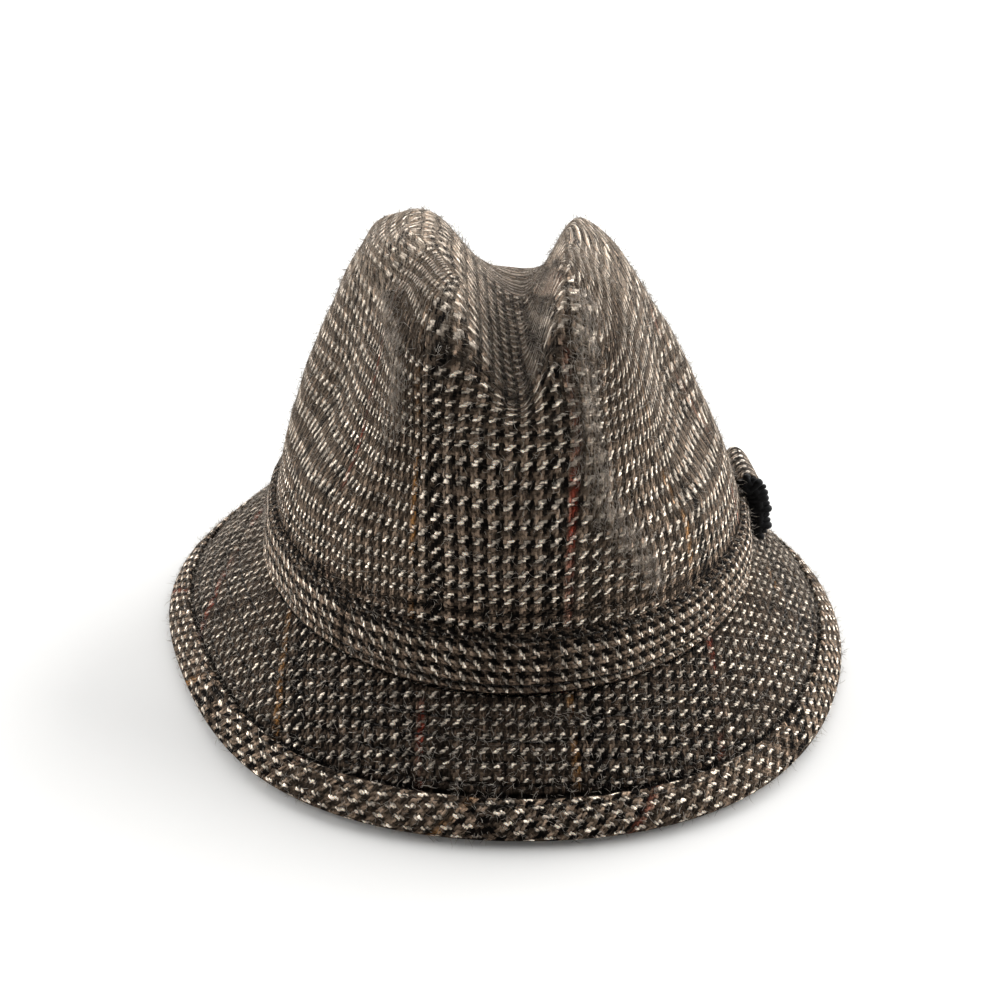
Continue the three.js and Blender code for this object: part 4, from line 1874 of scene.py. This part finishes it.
@dataclass
class Studio:
    """The pale floor, the soft lamps and the camera."""

    lamps: tuple[Lamp, ...] = (
        Lamp("right_lamp", 113, 22, 7.6, 60),
        Lamp("left_lamp", -112, 22, 4.8, 60),
        Lamp("back_lamp", 178, 26, 5.2, 70),
    )
    sky: Colour = (0.01, 0.01, 0.01)
    floor: Colour = (0.600, 0.597, 0.588)
    floor_size: float = 14.0  # metres
    floor_below: float = 0.00002  # how far under the rim it lies, in metres
    floor_glow: float = 0.06
    glow: Colour = (1.0, 0.995, 0.98)
    under_hat: float = 0.112  # no glow nearer the middle than this, in metres
    elevation: float = 32.6  # how high the camera stands, seen from the hat's foot
    distance: float = 430.0
    pitch: float = 28.4  # how far it looks down
    roll: float = 1.6
    spin: float = 3.0  # how far the hat is turned from square on
    across: float = -1.0
    lens: float = 39.6
    sensor: float = 36.0

    def build(self) -> None:
        """Puts everything in place."""
        self.place_floor()
        for lamp in self.lamps:
            self.place_lamp(lamp)
        world = bpy.data.worlds.new("studio_air")
        world.use_nodes = True
        world.node_tree.nodes["Background"].inputs[0].default_value = (*self.sky, 1.0)
        bpy.context.scene.world = world
        bpy.context.scene.view_settings.view_transform = "Standard"
        self.place_camera()

    def place_floor(self) -> None:
        """The floor, a wide plane just under the rim."""
        deselect()
        location = (0, 0, -self.floor_below)
        bpy.ops.mesh.primitive_plane_add(size=self.floor_size, location=location)
        floor = bpy.context.active_object
        floor.name = "studio_floor"
        bench = NodeBench("pale_floor")
        tone = bench.noise(bench.place(), 3.0, 2.0).ramp(Ramp(0.3, 0.7, 0.985, 1.0))
        plain = bench.add("RGB").outputs[0]
        plain.default_value = (*self.floor, 1.0)
        bench.surface(bench.vector("SCALE", Wire(bench, plain), tone), roughness=0.75, specular=0.1)
        from_middle = bench.add("VectorMath")
        from_middle.operation = "LENGTH"
        bench.feed(from_middle, bench.place())
        glow = Ramp(self.under_hat, self.under_hat + 0.01, 0.0, self.floor_glow)
        glow = Wire(bench, from_middle.outputs["Value"]).ramp(glow)
        bench.shader.inputs["Emission Color"].default_value = (*self.glow, 1.0)
        bench.join(bench.shader.inputs["Emission Strength"], glow)
        floor.data.materials.append(bench.material)

    def place_lamp(self, lamp: Lamp) -> None:
        """Adds one soft lamp.

        Args:
            lamp: which one.
        """
        light = bpy.data.lights.new(lamp.name, "SUN")
        light.energy = lamp.strength
        light.angle = math.radians(lamp.width)
        holder = bpy.data.objects.new(lamp.name, light)
        azimuth, elevation = math.radians(lamp.azimuth), math.radians(lamp.elevation)
        level = math.cos(elevation)
        towards = Vector((math.sin(azimuth) * level, -math.cos(azimuth) * level, math.sin(elevation)))
        holder.rotation_euler = towards.to_track_quat("Z", "Y").to_euler()
        holder.location = towards * 2.0
        bpy.context.scene.collection.objects.link(holder)

    def place_camera(self) -> None:
        """Adds the camera in front of the hat, a little above its top."""
        elevation, pitch, roll = (math.radians(a) for a in (self.elevation, self.pitch, self.roll))
        forward = Vector((0, math.cos(pitch), -math.sin(pitch)))
        right = Vector((1, 0, 0))
        up = right.cross(forward)
        across = right * math.cos(roll) + up * math.sin(roll)
        upward = up * math.cos(roll) - right * math.sin(roll)
        back, high = -self.distance * math.cos(elevation), self.distance * math.sin(elevation)
        where = Vector((self.across, back, high))
        turned = Matrix.Rotation(math.radians(-self.spin), 4, "Z")
        pose = Matrix((across, upward, -forward)).transposed().to_4x4()
        pose.translation = where * MM
        camera = bpy.data.cameras.new("camera")
        camera.lens = self.lens
        camera.sensor_width = self.sensor
        camera.clip_start = 0.01
        holder = bpy.data.objects.new("camera", camera)
        holder.matrix_world = turned @ pose
        bpy.context.scene.collection.objects.link(holder)
        bpy.context.scene.camera = holder


# ---- the hat --------------------------------------------------------------------------


def report(pieces: Sequence[bpy.types.Object]) -> None:
    """Logs each piece with its number of faces."""
    for piece in pieces:
        LOG.info("%s: %d faces", piece.name, len(piece.data.polygons))


def loose_fibres(
    crown: Crown, band: HatBand, brim: Brim, binding: Binding
) -> list[bpy.types.Object]:
    """The stray wool that stands off each piece of cloth.

    Args:
        crown: the crown, which also has nap rubbed up along its creases.
        band: the band.
        brim: the brim.
        binding: the binding.

    Returns:
        The new pieces.
    """
    points, _, _, creased = crown.shell()
    outer = points[:, crown.inside + 1 :]
    level = np.linspace(0.05, 0.95, 12)[None, :]
    strip = band.face(round_the_hat(240)[:, None], level)
    nap = Fuzz(
        "crease_nap",
        "crown_tweed",
        2600,
        42,
        longest=6.0,
        shortest=2.5,
        lift=0.16,
        combed=0.6,
        pale=(0.46, 0.40, 0.34),
    )
    return [
        Fuzz("crown_fuzz", "crown_tweed", 15000, 41, longest=6.0, lift=1.0).build(outer),
        nap.build(outer, creased[:-1, :-1]),
        Fuzz("band_fuzz", "band_tweed", 2500, 43).build(strip),
        Fuzz("brim_fuzz", "brim_tweed", 9000, 44).build(brim.upper_face()),
        Fuzz("binding_fuzz", "binding_tweed", 3000, 45).build(binding.outer_face()),
    ]


def main() -> None:
    """Builds the hat's pieces in order, then the studio."""
    logging.basicConfig(level=logging.INFO, format="%(name)s: %(message)s")
    form = CrownForm()
    brim_form = BrimForm(form)
    crown, band = Crown(form), HatBand(form)
    brim, binding = Brim(brim_form), Binding(brim_form)
    report([crown.build(), *band.build(), *brim.build(), *binding.build()])
    report(BandLoop().build())
    report(loose_fibres(crown, band, brim, binding))
    Studio().build()


if __name__ == "__main__":
    main()
